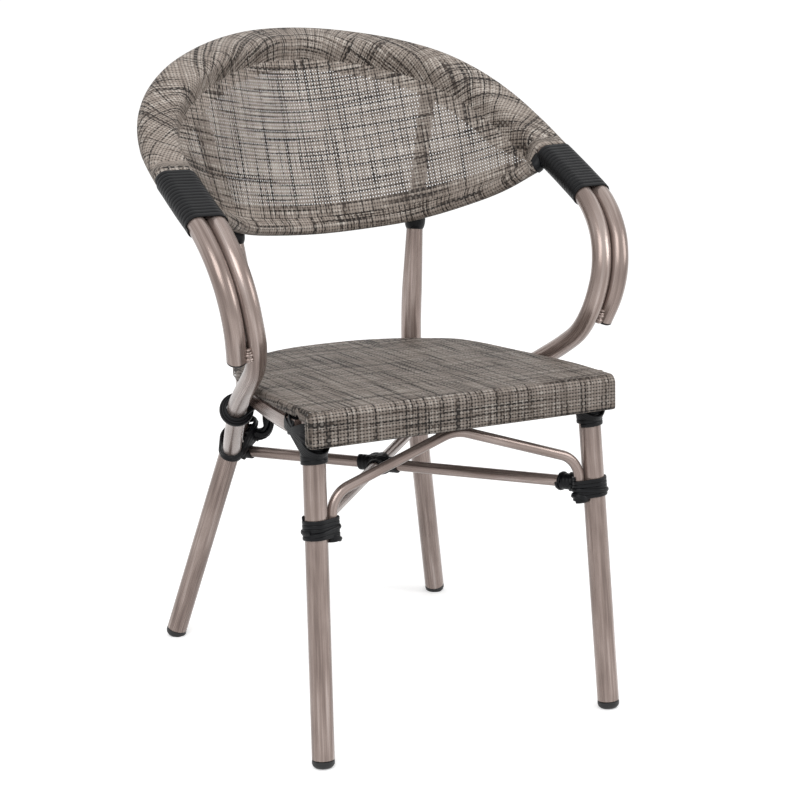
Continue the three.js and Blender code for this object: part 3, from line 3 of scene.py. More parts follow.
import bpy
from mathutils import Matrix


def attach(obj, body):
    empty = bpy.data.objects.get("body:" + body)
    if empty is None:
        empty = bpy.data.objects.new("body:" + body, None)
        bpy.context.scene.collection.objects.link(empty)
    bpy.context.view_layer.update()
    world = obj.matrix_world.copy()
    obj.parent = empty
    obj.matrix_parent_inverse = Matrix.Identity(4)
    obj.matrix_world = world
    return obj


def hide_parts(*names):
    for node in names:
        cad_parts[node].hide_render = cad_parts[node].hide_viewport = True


bl_info = {
    "name": "Bistro Armchair",
    "version": (1, 0, 0),
    "blender": (4, 5, 0),
    "location": "View3D > Sidebar > Armchair",
    "description": "Builds a stacking bistro armchair round its tube frame",
    "category": "Add Mesh",
}

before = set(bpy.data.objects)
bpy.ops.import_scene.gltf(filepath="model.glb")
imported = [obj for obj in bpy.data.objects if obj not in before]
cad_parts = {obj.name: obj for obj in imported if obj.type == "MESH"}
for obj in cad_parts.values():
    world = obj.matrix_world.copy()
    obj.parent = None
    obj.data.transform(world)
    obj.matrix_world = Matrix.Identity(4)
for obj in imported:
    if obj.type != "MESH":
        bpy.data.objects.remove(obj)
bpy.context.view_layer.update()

import math

import bmesh
import bpy
from bpy.props import FloatProperty, FloatVectorProperty, IntProperty, PointerProperty
from mathutils import Matrix, Vector
from mathutils.geometry import convex_hull_2d
from mathutils.kdtree import KDTree

MM = 0.001

# Everything is worked out in millimetres, with depths (y) behind the front feet
DEPTH_TO_MIDDLE = 283.68
TO_FRAME = Matrix.Scale(MM, 4) @ Matrix.Translation((0, -DEPTH_TO_MIDDLE, 0))
SIDES = {"left": -1, "right": 1}
FIT_GAP = 0.35
SEARCH_STEPS = 800
SIDEWAYS, BACKWARDS, UPWARDS = Vector((1, 0, 0)), Vector((0, 1, 0)), Vector((0, 0, 1))

# Legs
FRONT_FOOT_HALF_SPAN = 202.7
FRONT_LEAN_IN = 13
FRONT_LEAN_BACK = 48.5
LEAN_GAUGE = 410
FRONT_LEG_TOP = 423.2
REAR_FOOT = (207.6, 494.8, 0)
REAR_BEND = (116.3, 401, 400)
REAR_BEND_RADIUS = 350
POST_NECK = (136.5, 422.5, 592)
POST_NECK_RADIUS = 160
POST_TAPER_LENGTH = 110
POST_TOP_HALF_SPAN = 180
POST_TOP_GAP = 9
GLIDE_HEIGHT = 10
GLIDE_STEM = 8

# Arms and hoop
ARM_HALF_WIDTH = 281.5
ARM_FRONT_DEPTH = 107
HOOP_BACK_DEPTH = 566
HOOP_TOP_HEIGHT = 823
ARM_JOINT_DEPTH = 230
ARM_WRAP_FRONT_DEPTH = 170
ARM_WRAP_BACK_DEPTH = 276
ARM_END_TRIM = 5
PAIR_UPRIGHT_SHARE = 0.35
HOOP_SHARES = [
    (0.904, 0.034, 0.583), (0.929, 0.007, 0.623), (0.9435, 0, 0.649), (0.9556, 0.0022, 0.6725),
    (0.966, 0.0126, 0.695), (0.976, 0.0305, 0.7164), (0.984, 0.0566, 0.7363), (0.991, 0.0915, 0.7554),
    (0.996, 0.1364, 0.7728), (1, 0.2244, 0.794), (1, 0.3115, 0.8141), (0.998, 0.3965, 0.8335),
    (0.983, 0.512, 0.864), (0.927, 0.62, 0.8998), (0.833, 0.706, 0.932), (0.696, 0.782, 0.96),
    (0.52, 0.861, 0.98), (0.327, 0.9405, 0.9923), (0.17, 0.984, 0.998), (0, 1, 1),
]
LOWEST_OF_TOP, LEVEL_WITH_ARM = 6, 9
ARM_RETURN_SHARES = [
    (0.542, 0.643, 0.3475), (0.622, 0.499, 0.4046), (0.668, 0.41, 0.4408), (0.7, 0.357, 0.462),
    (0.73, 0.2975, 0.4812), (0.766, 0.199, 0.5147), (0.7915, 0.1137, 0.5449),
    (0.808, 0.0536, 0.5714), (0.828, 0.0137, 0.6104),
]
RETURN_MEETS_OFFSET_HEIGHT = 530

# Back
BACK_RAIL_HALF_WIDTH = 243
BACK_RAIL_MIDDLE_DEPTH = 436
BACK_RAIL_MIDDLE_HEIGHT = 576
BACK_RAIL_SHARES = [
    (0, 1, 1), (0.25, 0.982, 1.006), (0.5, 0.928, 1.023),
    (0.7, 0.828, 1.059), (0.865, 0.717, 1.1045), (1, 0.63, 1.156),
]
RAIL_TIP = Vector((251, 276, 676))
RAIL_SKIN = 2.4
HEM_START_SHARE = 0.002
SEAM_REACH, LOW_SEAM_REACH, SEAM_RADIUS = 9, 6, 0.3
FLAP_IN_MIDDLE = 14
FLAP_AT_SIDES = 38
LOW_FLAP = 16
FLAP_BEHIND = 1
FLAP_SHARE, LOW_FLAP_SHARE = 0.35, 0.25
BACK_COLUMNS, PANEL_ROWS = 220, 44
HEM_STEPS, LOW_HEM_STEPS, FLAP_STEPS, LOW_FLAP_STEPS = 46, 22, 4, 3

# Seat, in its own frame: y back from the front face, z up from the top
SEAT_HEIGHT = 439.5
SEAT_FRONT_DEPTH = 13
SEAT_FALL_DEGREES = 3.15
SEAT_HALF_WIDTH = 210
SEAT_DEPTH = 413
SEAT_EDGE_DROP = 12.5
SEAT_EDGE_RADIUS = 4
SEAT_APRON_DROP = 44.6
SEAT_NOSE_RADIUS = 11
SEAT_SLEEVE_DEPTH = 19.5
SLEEVE_RADIUS = 4
SLEEVE_RETURN_DROP = 8
SEAT_HEM = 4.5
SEAT_OUTLINE_SHARES = [
    (1, 0.1), (1, 0.22), (0.965, 0.39), (0.915, 0.56), (0.86, 0.73),
    (0.79, 0.83), (0.642, 0.894), (0.44, 0.958), (0.23, 0.992), (0, 1),
]
SEAT_CORNER_SHARE = 0.845
SEAT_FRONT_SHARE = 0.08
SIDE_CROWDING_SHARE, BACK_CROWDING_SHARE = 0.18, 0.06
SEAT_COLUMNS, SEAT_ROWS = 110, 90
SEAT_RAIL_DIAMETER = 20
SEAT_RAIL_INSET = 13
SEAT_RAIL_DROP = 30.5
SEAT_RAIL_JOINT_SHARE = 0.74
TO_SEAT = Matrix.Translation((0, SEAT_FRONT_DEPTH, SEAT_HEIGHT)) @ Matrix.Rotation(
    -math.radians(SEAT_FALL_DEGREES), 4, "X"
)

# Stretchers
ARCH_FOOT_HEIGHT = 274
ARCH_SHOULDER_HEIGHT = 328.2
ARCH_SHOULDER_RADIUS = 35
ARCH_PEAK = (0, 47.3, 385.4)
ARCH_PEAK_RADIUS = 53
BRACE_FRONT_HEIGHT = 293.5
BRACE_REAR_HEIGHT = 281
BRACE_FRONT_GAP, BRACE_REAR_GAP, BRACE_CROSSING_SHARE = 4, 1, 1.15

# Bindings
LEG_WINDING_HEIGHT, LEG_KNOT_HEIGHT, ARCH_KNOT_RISE = 292, 288, 5
BRACE_WINDING_REACH = 36
BRACE_KNOTS = ((30, 24), (42, -18))
LEG_TOP_BINDING_HEIGHT = 391
BELT_HEIGHTS = (399, 406, 413)
REAR_BINDING_HEIGHT, REAR_BRACE_HEIGHT, REAR_TIE_HEIGHT = 289, 287, 306
REAR_DIAGONALS = ((34, 301), (22, 295), (46, 307))
TIE_START_HEIGHT, TIE_KNEE, TIE_KNEE_RADIUS, TIE_STRAND_REACH = 300, (98, 402, 305), 14, 4.8
RING_DEPTH, RING_TURNS, RING_STEP = 264, 3, 2.8
CROSS_REACH, CROSS_OTHER_REACH = 19, 15
COLLAR_LOW, COLLAR_HIGH = 566, 588

# Welds: how many beads, how far apart, and how they shrink and draw together
WELD_BEADS, WELD_STEP, WELD_SIZE, WELD_RIPPLE = 6, 3.1, 4.6, 0.9
WELD_SHRINK, WELD_DRAW = 0.12, 0.25

# Camera, fitted to both sides of the chair
CAMERA_PLACE = (-1130.18, -2054.64, 1046.22)
CAMERA_AXES = ((0.8938, 0.1133, -0.4338), (-0.4484, 0.2259, -0.8648), (0, 0.9675, 0.2527))
FOCAL_LENGTH, SENSOR_WIDTH, SIGHT = 91.07, 36, 100

# Lines


def spaced(start, stop, count):
    """Evenly spaced numbers from start to stop, both included."""
    return [start + (stop - start) * i / count for i in range(count + 1)]


def catmull_rom(places, samples_each=24):
    """A centripetal curve through places, as many short steps."""
    ends = [2 * places[0] - places[1], *places, 2 * places[-1] - places[-2]]
    found = []
    for index in range(1, len(ends) - 2):
        before, start, stop, after = ends[index - 1 : index + 3]
        pairs = ((before, start), (start, stop), (stop, after))
        gaps = [math.sqrt((b - a).length) for a, b in pairs]
        first = (start - before) / gaps[0] - (stop - before) / (gaps[0] + gaps[1])
        first = (first + (stop - start) / gaps[1]) * gaps[1]
        last = (stop - start) / gaps[1] - (after - start) / (gaps[1] + gaps[2])
        last = (last + (after - stop) / gaps[2]) * gaps[1]
        for step in range(samples_each):
            t = step / samples_each
            bend = (3 * (stop - start) - 2 * first - last) * t**2
            found.append(start + first * t + bend + (2 * (start - stop) + first + last) * t**3)
    return found + [places[-1].copy()]


class Run:
    """A line measured by its length."""

    def __init__(self, points):
        self.points = points
        self.marks = [0.0]
        for a, b in zip(points, points[1:]):
            self.marks.append(self.marks[-1] + (b - a).length)
        self.length = self.marks[-1]

    def at(self, share):
        goal = min(max(share, 0), 1) * self.length
        low, high = 0, len(self.marks) - 1
        while high - low > 1:
            middle = (low + high) // 2
            low, high = (middle, high) if self.marks[middle] <= goal else (low, middle)
        span = self.marks[high] - self.marks[low]
        return self.points[low].lerp(self.points[high], (goal - self.marks[low]) / span)

    def ahead(self, share):
        step = 2 / self.length
        return (self.at(share + step) - self.at(share - step)).normalized()

    def stations(self, spacing, start=0.0, stop=1.0):
        count = max(2, round(self.length * (stop - start) / spacing))
        return [self.at(share) for share in spaced(start, stop, count)]


def bent(corners, radii, degrees=3):
    """A bent tube's centre line: straight runs, with an arc at each inner corner."""
    corners = [Vector(corner) for corner in corners]
    line = [corners[0]]
    for index, radius in enumerate(radii, 1):
        back = (corners[index - 1] - corners[index]).normalized()
        on = (corners[index + 1] - corners[index]).normalized()
        turn = math.pi - back.angle(on)
        middle = corners[index] + (back + on).normalized() * radius / math.cos(turn / 2)
        spoke = corners[index] + back * radius * math.tan(turn / 2) - middle
        axis = on.cross(back).normalized()
        steps = max(3, round(math.degrees(turn) / degrees))
        for angle in spaced(0, turn, steps):
            line.append(middle + Matrix.Rotation(angle, 3, axis) @ spoke)
    return line + [corners[-1]]


def filled(stations, spacing=12):
    """The same line with stations no further apart than the spacing."""
    line = [stations[0]]
    for a, b in zip(stations, stations[1:]):
        count = max(1, round((b - a).length / spacing))
        line += [a.lerp(b, i / count) for i in range(1, count + 1)]
    return line


def untwisted(stations):
    """A matrix at each station whose Z runs along the line, turned as little as may be."""
    heading = (stations[1] - stations[0]).normalized()
    turn = heading.to_track_quat("Z", "Y")
    matrices = []
    last = len(stations) - 1
    for index, place in enumerate(stations):
        new = (stations[min(index + 1, last)] - stations[max(index - 1, 0)]).normalized()
        turn = heading.rotation_difference(new) @ turn
        heading = new
        matrices.append(Matrix.Translation(place) @ turn.to_matrix().to_4x4())
    return matrices


def framed(place, x, y, z):
    """A matrix at a place with three given axes."""
    return Matrix.Translation(place) @ Matrix((x, y, z)).transposed().to_4x4()


def flipped(places, sign):
    """Places of the right side, or the same on the left where the sign is -1."""
    return [Vector((p.x * sign, p.y, p.z)) for p in places]


# Meshes


def grain_layer(bm, name="grain"):
    """A place of its own for each vertex that a pattern follows over the surface."""
    return bm.verts.layers.float_vector.get(name) or bm.verts.layers.float_vector.new(name)


def own_grain(bm):
    """The grain of a piece that isn't swept: its own places, in metres."""
    layer = grain_layer(bm)
    for vert in bm.verts:
        vert[layer] = vert.co * MM


def extruded(bm, edges):
    """Extrudes edges, and gives the new corners and the new outer edges."""
    made = bmesh.ops.extrude_edge_only(bm, edges=edges)["geom"]
    verts = [item for item in made if isinstance(item, bmesh.types.BMVert)]
    return verts, [e for e in made if isinstance(e, bmesh.types.BMEdge) and e.is_boundary]


def sweep(bm, outline, matrices, scales=None):
    """Carries an outline, in the plane of x and y, along matrices by repeated extrusion."""
    layer = grain_layer(bm)
    scales = scales or [1] * len(matrices)
    verts = [bm.verts.new((*corner, 0)) for corner in outline]
    edges = [bm.edges.new(pair) for pair in zip(verts, verts[1:] + verts[:1])]
    home = list(verts)
    travel = 0.0
    now = matrices[0] @ Matrix.Scale(scales[0], 4)
    bmesh.ops.transform(bm, matrix=now, verts=verts)
    for vert, corner in zip(verts, outline):
        vert[layer] = (corner[0] * MM, corner[1] * MM, 0)
    for index in range(1, len(matrices)):
        verts, edges = extruded(bm, edges)
        travel += (matrices[index].translation - matrices[index - 1].translation).length
        new = matrices[index] @ Matrix.Scale(scales[index], 4)
        back = now.inverted()
        for vert in verts:
            local = back @ vert.co
            vert[layer] = (local.x * MM, local.y * MM, travel * MM)
        bmesh.ops.transform(bm, matrix=new @ back, verts=verts)
        now = new
    first = [edge for edge in bm.edges if edge.is_boundary and edge.verts[0] in home]
    for loop in (first, edges):
        bmesh.ops.contextual_create(bm, geom=loop)


def round_outline(radius, sides=32):
    angles = [2 * math.pi * i / sides for i in range(sides)]
    return [(radius * math.cos(angle), radius * math.sin(angle)) for angle in angles]


def make(name, bm, finish, *nodes, slot=None, auto_smooth=40):
    """Puts a mesh in the scene as a piece that rides on the chair."""
    bmesh.ops.transform(bm, matrix=TO_FRAME, verts=bm.verts)
    bmesh.ops.recalc_face_normals(bm, faces=bm.faces)
    for face in bm.faces:
        face.smooth = True
    for edge in bm.edges:
        if len(edge.link_faces) == 2:
            edge.smooth = edge.calc_face_angle() < math.radians(auto_smooth)
    data = bpy.data.meshes.new(name)
    bm.to_mesh(data)
    bm.free()
    piece = bpy.data.objects.new(name, data)
    bpy.context.scene.collection.objects.link(piece)
    data.materials.append(material(finish))
    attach(piece, "root")
    if nodes:
        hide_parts(*nodes)
    return piece


def tube(name, stations, radius, *nodes, scales=None, sides=36, rim=0.7):
    """A round tube with a slightly broken edge at both ends."""
    matrices = untwisted(stations)
    scales = list(scales or [1] * len(matrices))
    first, last = matrices[0].copy(), matrices[-1].copy()
    first.translation = matrices[0] @ Vector((0, 0, rim))
    last.translation = matrices[-1] @ Vector((0, 0, -rim))
    less = 1 - rim / radius
    rings = [matrices[0], first, *matrices[1:-1], last, matrices[-1]]
    sizes = [scales[0] * less, scales[0], *scales[1:-1], scales[-1], scales[-1] * less]
    bm = bmesh.new()
    sweep(bm, round_outline(radius, sides), rings, sizes)
    return make(name, bm, bamboo_look_aluminium, *nodes)


def lathe(name, profile, place, axis, finish, *nodes, steps=40, below=None):
    """Spins a profile of (radius, height) round an axis."""
    bm = bmesh.new()
    verts = [bm.verts.new((radius, 0, height)) for radius, height in profile]
    edges = [bm.edges.new(pair) for pair in zip(verts, verts[1:])]
    turn = {"cent": (0, 0, 0), "axis": UPWARDS, "angle": 2 * math.pi, "steps": steps}
    bmesh.ops.spin(bm, geom=verts + edges, use_merge=True, **turn)
    bmesh.ops.remove_doubles(bm, verts=bm.verts, dist=0.01)
    own_grain(bm)
    turn = Vector(axis).to_track_quat("Z", "Y").to_matrix().to_4x4()
    bmesh.ops.transform(bm, matrix=Matrix.Translation(place) @ turn, verts=bm.verts)
    if below is not None:
        for vert in bm.verts:
            vert.co.z = max(vert.co.z, below)
    return make(name, bm, finish, *nodes)


# Materials


def linear(code):
    """An sRGB hex colour as linear numbers."""
    parts = [int(code[i : i + 2], 16) / 255 for i in (1, 3, 5)]
    return tuple(p / 12.92 if p <= 0.04045 else ((p + 0.055) / 1.055) ** 2.4 for p in parts)


def node(tree, kind, inputs, out=0, stops=(), **settings):
    """Adds a shader node with its settings, values, links and colour stops, and gives an output."""
    made = tree.nodes.new("ShaderNode" + kind)
    for key, value in settings.items():
        setattr(made, key, value)
    for key, value in inputs.items():
        if isinstance(value, bpy.types.NodeSocket):
            tree.links.new(value, made.inputs[key])
        else:
            made.inputs[key].default_value = value
    while stops and len(made.color_ramp.elements) < len(stops):
        made.color_ramp.elements.new(0.5)
    for step, (place, code) in enumerate(stops):
        made.color_ramp.elements[step].position = place
        made.color_ramp.elements[step].color = (*linear(code), 1)
    return made.outputs[out] if made.outputs else None


def material(finish):
    """The material that a function describes by its shader, made once."""
    made = bpy.data.materials.get(finish.__name__)
    if made is None:
        made = bpy.data.materials.new(finish.__name__)
        made.use_nodes = True
        made.node_tree.nodes.clear()
        node(made.node_tree, "OutputMaterial", {"Surface": finish(made.node_tree)})
    return made


def bamboo_look_aluminium(tree):
    """Aluminium tube, rolled with a wood-grain lacquer: lengthwise streaks under a satin shine."""
    place = node(tree, "Attribute", {}, "Vector", attribute_name="grain")
    # Streaks 5 mm wide and some 120 mm long
    streak = node(tree, "Mapping", {"Vector": place, "Scale": (200, 200, 8)})
    streaks = node(tree, "TexNoise", {"Vector": streak, "Scale": 1, "Detail": 3, "Roughness": 0.55})
    # Clouds 25 mm wide and 80 mm long, where the lacquer is thinner
    cloud = node(tree, "Mapping", {"Vector": place, "Scale": (40, 40, 12)})
    clouds = node(tree, "TexNoise", {"Vector": cloud, "Scale": 1, "Detail": 2, "Roughness": 0.5})
    both = node(tree, "Math", {0: streaks, 1: 0.62}, operation="MULTIPLY")
    both = node(tree, "Math", {0: clouds, 1: 0.38, 2: both}, operation="MULTIPLY_ADD")
    lacquer = [(0.34, "#6d5e58"), (0.45, "#86766f"), (0.55, "#998982"), (0.68, "#b7a9a3")]
    # Brush lines, drawn 0.5 mm wide so that they show
    hair = node(tree, "Mapping", {"Vector": place, "Scale": (2000, 2000, 20)})
    hairs = node(tree, "TexNoise", {"Vector": hair, "Scale": 1, "Detail": 1})
    shader = {
        "Base Color": node(tree, "ValToRGB", {0: both}, stops=lacquer),
        "Metallic": 0.55,
        "Roughness": node(tree, "MapRange", {"Value": hairs, "To Min": 0.2, "To Max": 0.34}),
        "Normal": node(tree, "Bump", {"Height": hairs, "Strength": 0.12, "Distance": 0.0002}),
        "Coat Weight": 0.25,
        "Coat Roughness": 0.2,
    }
    return node(tree, "BsdfPrincipled", shader)


def thread_colour(tree, strand, run, seed):
    """The colour of a dyed strand: it changes from strand to strand and slowly along each."""
    strand = node(tree, "Math", {0: strand, 1: 7.31}, operation="MULTIPLY")
    run = node(tree, "Math", {0: run, 1: 0.035}, operation="MULTIPLY")
    place = node(tree, "CombineXYZ", {0: strand, 1: run, 2: seed})
    dye = node(tree, "TexNoise", {"Vector": place, "Scale": 1, "Detail": 1, "Roughness": 0.4})
    dyes = [(0.35, "#1f1915"), (0.39, "#4a4039"), (0.42, "#877c73"), (0.55, "#a1968d"), (0.67, "#cdc5bc")]
    return node(tree, "ValToRGB", {0: dye}, stops=dyes)


def woven_mesh(tree):
    """Coated polyester mesh, plain weave of flat threads with open corners: a tweed of beige and brown."""
    cloth = bpy.context.scene.armchair_cloth
    # The attribute counts threads across and up; its third number is 1 for cloth on cloth, -1 for the seat
    place = node(tree, "Attribute", {}, "Vector", attribute_name="threads")
    across, along, layers = node(tree, "SeparateXYZ", {0: place}).node.outputs
    values = {"across": across, "along": along, "layers": layers}
    steps = [
        # Which thread lies on top
        ("column", "FLOOR", "across"),
        ("row", "FLOOR", "along"),
        ("count", "ADD", "column", "row"),
        ("turn", "MODULO", "count", 2),
        ("over", "ABSOLUTE", "turn"),
        # How far from the middle of its cell a point lies, up to 0.5
        ("from_column", "FRACT", "across"),
        ("in_column", "SUBTRACT", "from_column", 0.5),
        ("wide", "ABSOLUTE", "in_column"),
        ("from_row", "FRACT", "along"),
        ("in_row", "SUBTRACT", "from_row", 0.5),
        ("high", "ABSOLUTE", "in_row"),
        # Two strands lie side by side in each thread
        ("half_rows", "MULTIPLY", "along", 2),
        ("weft_strand", "FLOOR", "half_rows"),
        ("half_columns", "MULTIPLY", "across", 2),
        ("warp_strand", "FLOOR", "half_columns"),
        # Each thread dips at both ends of its cell, and is rounded across
        ("both", "ADD", "wide", "high"),
        ("more", "SUBTRACT", "high", "wide"),
        ("run", "MULTIPLY_ADD", "over", "more", "wide"),
        ("side", "SUBTRACT", "both", "run"),
        ("whole_run", "MULTIPLY", "run", 2),
        ("dip", "POWER", "whole_run", 3),
        ("whole_side", "MULTIPLY", "side", 2),
        ("edge", "POWER", "whole_side", 4),
        ("dipped", "MULTIPLY", "dip", 0.55),
        ("low", "MULTIPLY_ADD", "edge", 0.6, "dipped"),
        # The open corners are upright slits in the back and level ones in the seat
        ("in_seat", "LESS_THAN", "layers", -0.5),
        ("hole_wide", "MULTIPLY_ADD", "in_seat", -cloth.slit_stretch, 0.5 - cloth.hole_share),
        ("hole_high", "MULTIPLY_ADD", "in_seat", cloth.slit_stretch / 2, 0.45 - cloth.hole_share),
        ("past_side", "GREATER_THAN", "wide", "hole_wide"),
        ("past_end", "GREATER_THAN", "high", "hole_high"),
        ("hole", "MULTIPLY", "past_side", "past_end"),
        # Painted shade makes threads darker where they dip and at their sides, and makes the corners of
        # cloth on cloth dark; cloth on cloth has no holes and is lighter by painted light; the seat is
        # darker by painted shade
        ("doubled", "GREATER_THAN", "layers", 0.5),
        ("single", "SUBTRACT", 1, "doubled"),
        # Painted shade where each thread dips under its neighbour and along its sides
        ("dip_painted_shade", "MULTIPLY_ADD", "low", -0.62, 1),
        # Painted shade: the corners of cloth on cloth, which have no holes, are dark like the shade behind
        # them
        ("hole_painted_shade", "MULTIPLY_ADD", "hole", -0.7, 1),
        # Painted light: cloth on cloth is lighter, for the light that its second layer throws back
        ("layers_painted_light", "MULTIPLY_ADD", "doubled", 0.17, 1),
        # Painted shade: the seat's cloth is darker than the same cloth in the back
        ("seat_painted_shade", "MULTIPLY_ADD", "in_seat", -0.08, 1),
        ("shaded", "MULTIPLY", "dip_painted_shade", "hole_painted_shade"),
        ("layers_light_and_seat_shade", "MULTIPLY", "layers_painted_light", "seat_painted_shade"),
        ("shade", "MULTIPLY", "shaded", "layers_light_and_seat_shade"),
        ("open", "MULTIPLY", "hole", "single"),
        ("alpha", "SUBTRACT", 1, "open"),
    ]
    for name, operation, *terms in steps:
        inputs = {index: values.get(term, term) for index, term in enumerate(terms)}
        values[name] = node(tree, "Math", inputs, operation=operation)
    weft = thread_colour(tree, values["weft_strand"], across, 3.7)
    warp = thread_colour(tree, values["warp_strand"], along, 11.2)
    colours = {"data_type": "RGBA", "out": 2}
    upper = node(tree, "Mix", {0: values["over"], 6: weft, 7: warp}, **colours)
    lower = node(tree, "Mix", {0: values["over"], 6: warp, 7: weft}, **colours)
    # A dark strand still shows at its neighbour's sides where it passes under
    base = node(tree, "Mix", {0: 0.6, 6: upper, 7: lower}, blend_type="DARKEN", **colours)
    # The painted light and shade multiply the thread colours
    base = node(tree, "Mix", {0: 1.0, 6: base, 7: values["shade"]}, blend_type="MULTIPLY", **colours)
    relief = {"Height": values["low"], "Strength": 0.7, "Distance": 0.0006}
    shader = {
        "Base Color": base,
        "Roughness": 0.62,
        "Specular IOR Level": 0.35,
        "Normal": node(tree, "Bump", relief, invert=True),
        "Alpha": values["alpha"],
    }
    return node(tree, "BsdfPrincipled", shader)


def flat_rattan(tree):
    """Extruded black polyethylene rattan: fine lines along the strip and a waxy half shine."""
    place = node(tree, "Attribute", {}, "Vector", attribute_name="grain")
    line = node(tree, "Mapping", {"Vector": place, "Scale": (1400, 1400, 12)})
    lines = node(tree, "TexNoise", {"Vector": line, "Scale": 1, "Detail": 2})
    blacks = [(0.35, "#08090b"), (0.6, "#101114"), (0.8, "#1b1c20")]
    shader = {
        "Base Color": node(tree, "ValToRGB", {0: lines}, stops=blacks),
        "Roughness": node(tree, "MapRange", {"Value": lines, "To Min": 0.34, "To Max": 0.5}),
        "Specular IOR Level": 0.2,
        "Normal": node(tree, "Bump", {"Height": lines, "Strength": 0.35, "Distance": 0.0002}),
    }
    return node(tree, "BsdfPrincipled", shader)


def moulded_black_and_bar_shade(tree):
    """Moulded polyethylene: a fine pebbled skin that scatters the light. It also makes the flat bar in the
    seat's front black, as painted shade for the dark inside of the sleeve.
    """
    place = node(tree, "Attribute", {}, "Vector", attribute_name="grain")
    grit = node(tree, "TexNoise", {"Vector": place, "Scale": 1600, "Detail": 2})
    shader = {
        "Base Color": node(tree, "ValToRGB", {0: grit}, stops=[(0.3, "#0a0a0b"), (0.7, "#151516")]),
        "Roughness": 0.5,
        "Normal": node(tree, "Bump", {"Height": grit, "Strength": 0.25, "Distance": 0.0002}),
    }
    return node(tree, "BsdfPrincipled", shader)


def seen(tree):
    """1 for rays that show the background itself, straight or by a mirror or through glass."""
    path = node(tree, "LightPath", {}).node.outputs
    direct = {0: path["Is Camera Ray"], 1: path["Is Glossy Ray"]}
    direct = node(tree, "Math", direct, operation="MAXIMUM")
    return node(tree, "Math", {0: direct, 1: path["Is Transmission Ray"]}, operation="MAXIMUM")


def studio_paper(tree):
    """Matt white paper under the chair, which throws back the light of a grey floor."""
    studio = bpy.context.scene.armchair_studio
    shown = seen(tree)
    shades = {0: shown, 6: (*linear("#767676"), 1), 7: (*studio.floor_colour, 1)}
    base = node(tree, "Mix", shades, 2, data_type="RGBA")
    matt = {"Base Color": base, "Roughness": 1.0, "Specular IOR Level": 0.0}
    strength = node(tree, "Math", {0: shown, 1: studio.floor_lift}, operation="MULTIPLY")
    lift = node(tree, "Emission", {"Color": (1, 1, 1, 1), "Strength": strength})
    return node(tree, "AddShader", {0: node(tree, "BsdfPrincipled", matt), 1: lift})


# Where the chair's lines run


def front_leg_at(sign, height):
    share = height / LEAN_GAUGE
    half = FRONT_FOOT_HALF_SPAN - FRONT_LEAN_IN * share
    return Vector((sign * half, FRONT_LEAN_BACK * share, height))


def rear_leg_at(sign, height):
    place = Vector(REAR_FOOT).lerp(Vector(REAR_BEND), height / REAR_BEND[2])
    return flipped([place], sign)[0]


def post_at(sign, height):
    share = (height - REAR_BEND[2]) / (POST_NECK[2] - REAR_BEND[2])
    return flipped([Vector(REAR_BEND).lerp(Vector(POST_NECK), share)], sign)[0]


def hoop_place(shares):
    depth = ARM_FRONT_DEPTH + (HOOP_BACK_DEPTH - ARM_FRONT_DEPTH) * shares[1]
    return Vector((ARM_HALF_WIDTH * shares[0], depth, HOOP_TOP_HEIGHT * shares[2]))


RIGHT_HALF = [hoop_place(shares) for shares in HOOP_SHARES]
HOOP = Run(catmull_rom(RIGHT_HALF + flipped(RIGHT_HALF[-2::-1], -1)))


def pair_pitch():
    return bpy.context.scene.armchair_tubes.arm_diameter / MM + FIT_GAP


def hoop_frame(share):
    """Place, direction, and the inward and upward sides of the pair of tubes."""
    centre, ahead = HOOP.at(share), HOOP.ahead(share)
    mirror = -1 if share > 0.5 else 1
    climb = HOOP_TOP_HEIGHT - RIGHT_HALF[LEVEL_WITH_ARM].z
    rise = Vector((0, HOOP_BACK_DEPTH - ARM_FRONT_DEPTH, climb))
    side = Vector((0, ahead.y, ahead.z)) * mirror + rise.normalized() * PAIR_UPRIGHT_SHARE
    up = Vector((0, -side.z, side.y)).normalized()
    inward = up.cross(ahead).normalized()
    return centre, ahead, inward, ahead.cross(inward).normalized()


def hoop_inner(share):
    centre, _, inward, _ = hoop_frame(share)
    return centre + inward * pair_pitch()


def hoop_share_at_depth(depth):
    lowest = HOOP_TOP_HEIGHT * HOOP_SHARES[LOWEST_OF_TOP][2]
    shares = [i / SEARCH_STEPS for i in range(SEARCH_STEPS // 2 + 1)]
    return min((abs(HOOP.at(s).y - depth), s) for s in shares if HOOP.at(s).z > lowest)[1]


def back_rail():
    sizes = Vector((BACK_RAIL_HALF_WIDTH, BACK_RAIL_MIDDLE_DEPTH, BACK_RAIL_MIDDLE_HEIGHT))
    half = [Vector(shares) * sizes for shares in BACK_RAIL_SHARES]
    return Run(catmull_rom(half[:0:-1] + flipped(half, -1)))


def arm_return():
    """The inner tube of an arm: up from the rear leg, round the front, and into the hoop."""
    offset = [hoop_inner(share) for share in spaced(0, hoop_share_at_depth(ARM_JOINT_DEPTH), 14)]
    offset = [place for place in offset if place.z > RETURN_MEETS_OFFSET_HEIGHT]
    return Run(catmull_rom([hoop_place(s) for s in ARM_RETURN_SHARES] + offset))


def seat_outline():
    right = [Vector((SEAT_HALF_WIDTH * x, SEAT_DEPTH * y, 0)) for x, y in SEAT_OUTLINE_SHARES]
    return Run(catmull_rom(right + flipped(right[-2::-1], -1)))


def outline_share_at(outline, depth):
    shares = (i / SEARCH_STEPS for i in range(SEARCH_STEPS // 2 + 1))
    return next(share for share in shares if outline.at(share).y > depth)


def inset_place(outline, share, inset, height):
    ahead = outline.ahead(share)
    place = outline.at(share) + Vector((-ahead.y, ahead.x, 0)) * inset
    return Vector((place.x, place.y, height)), ahead


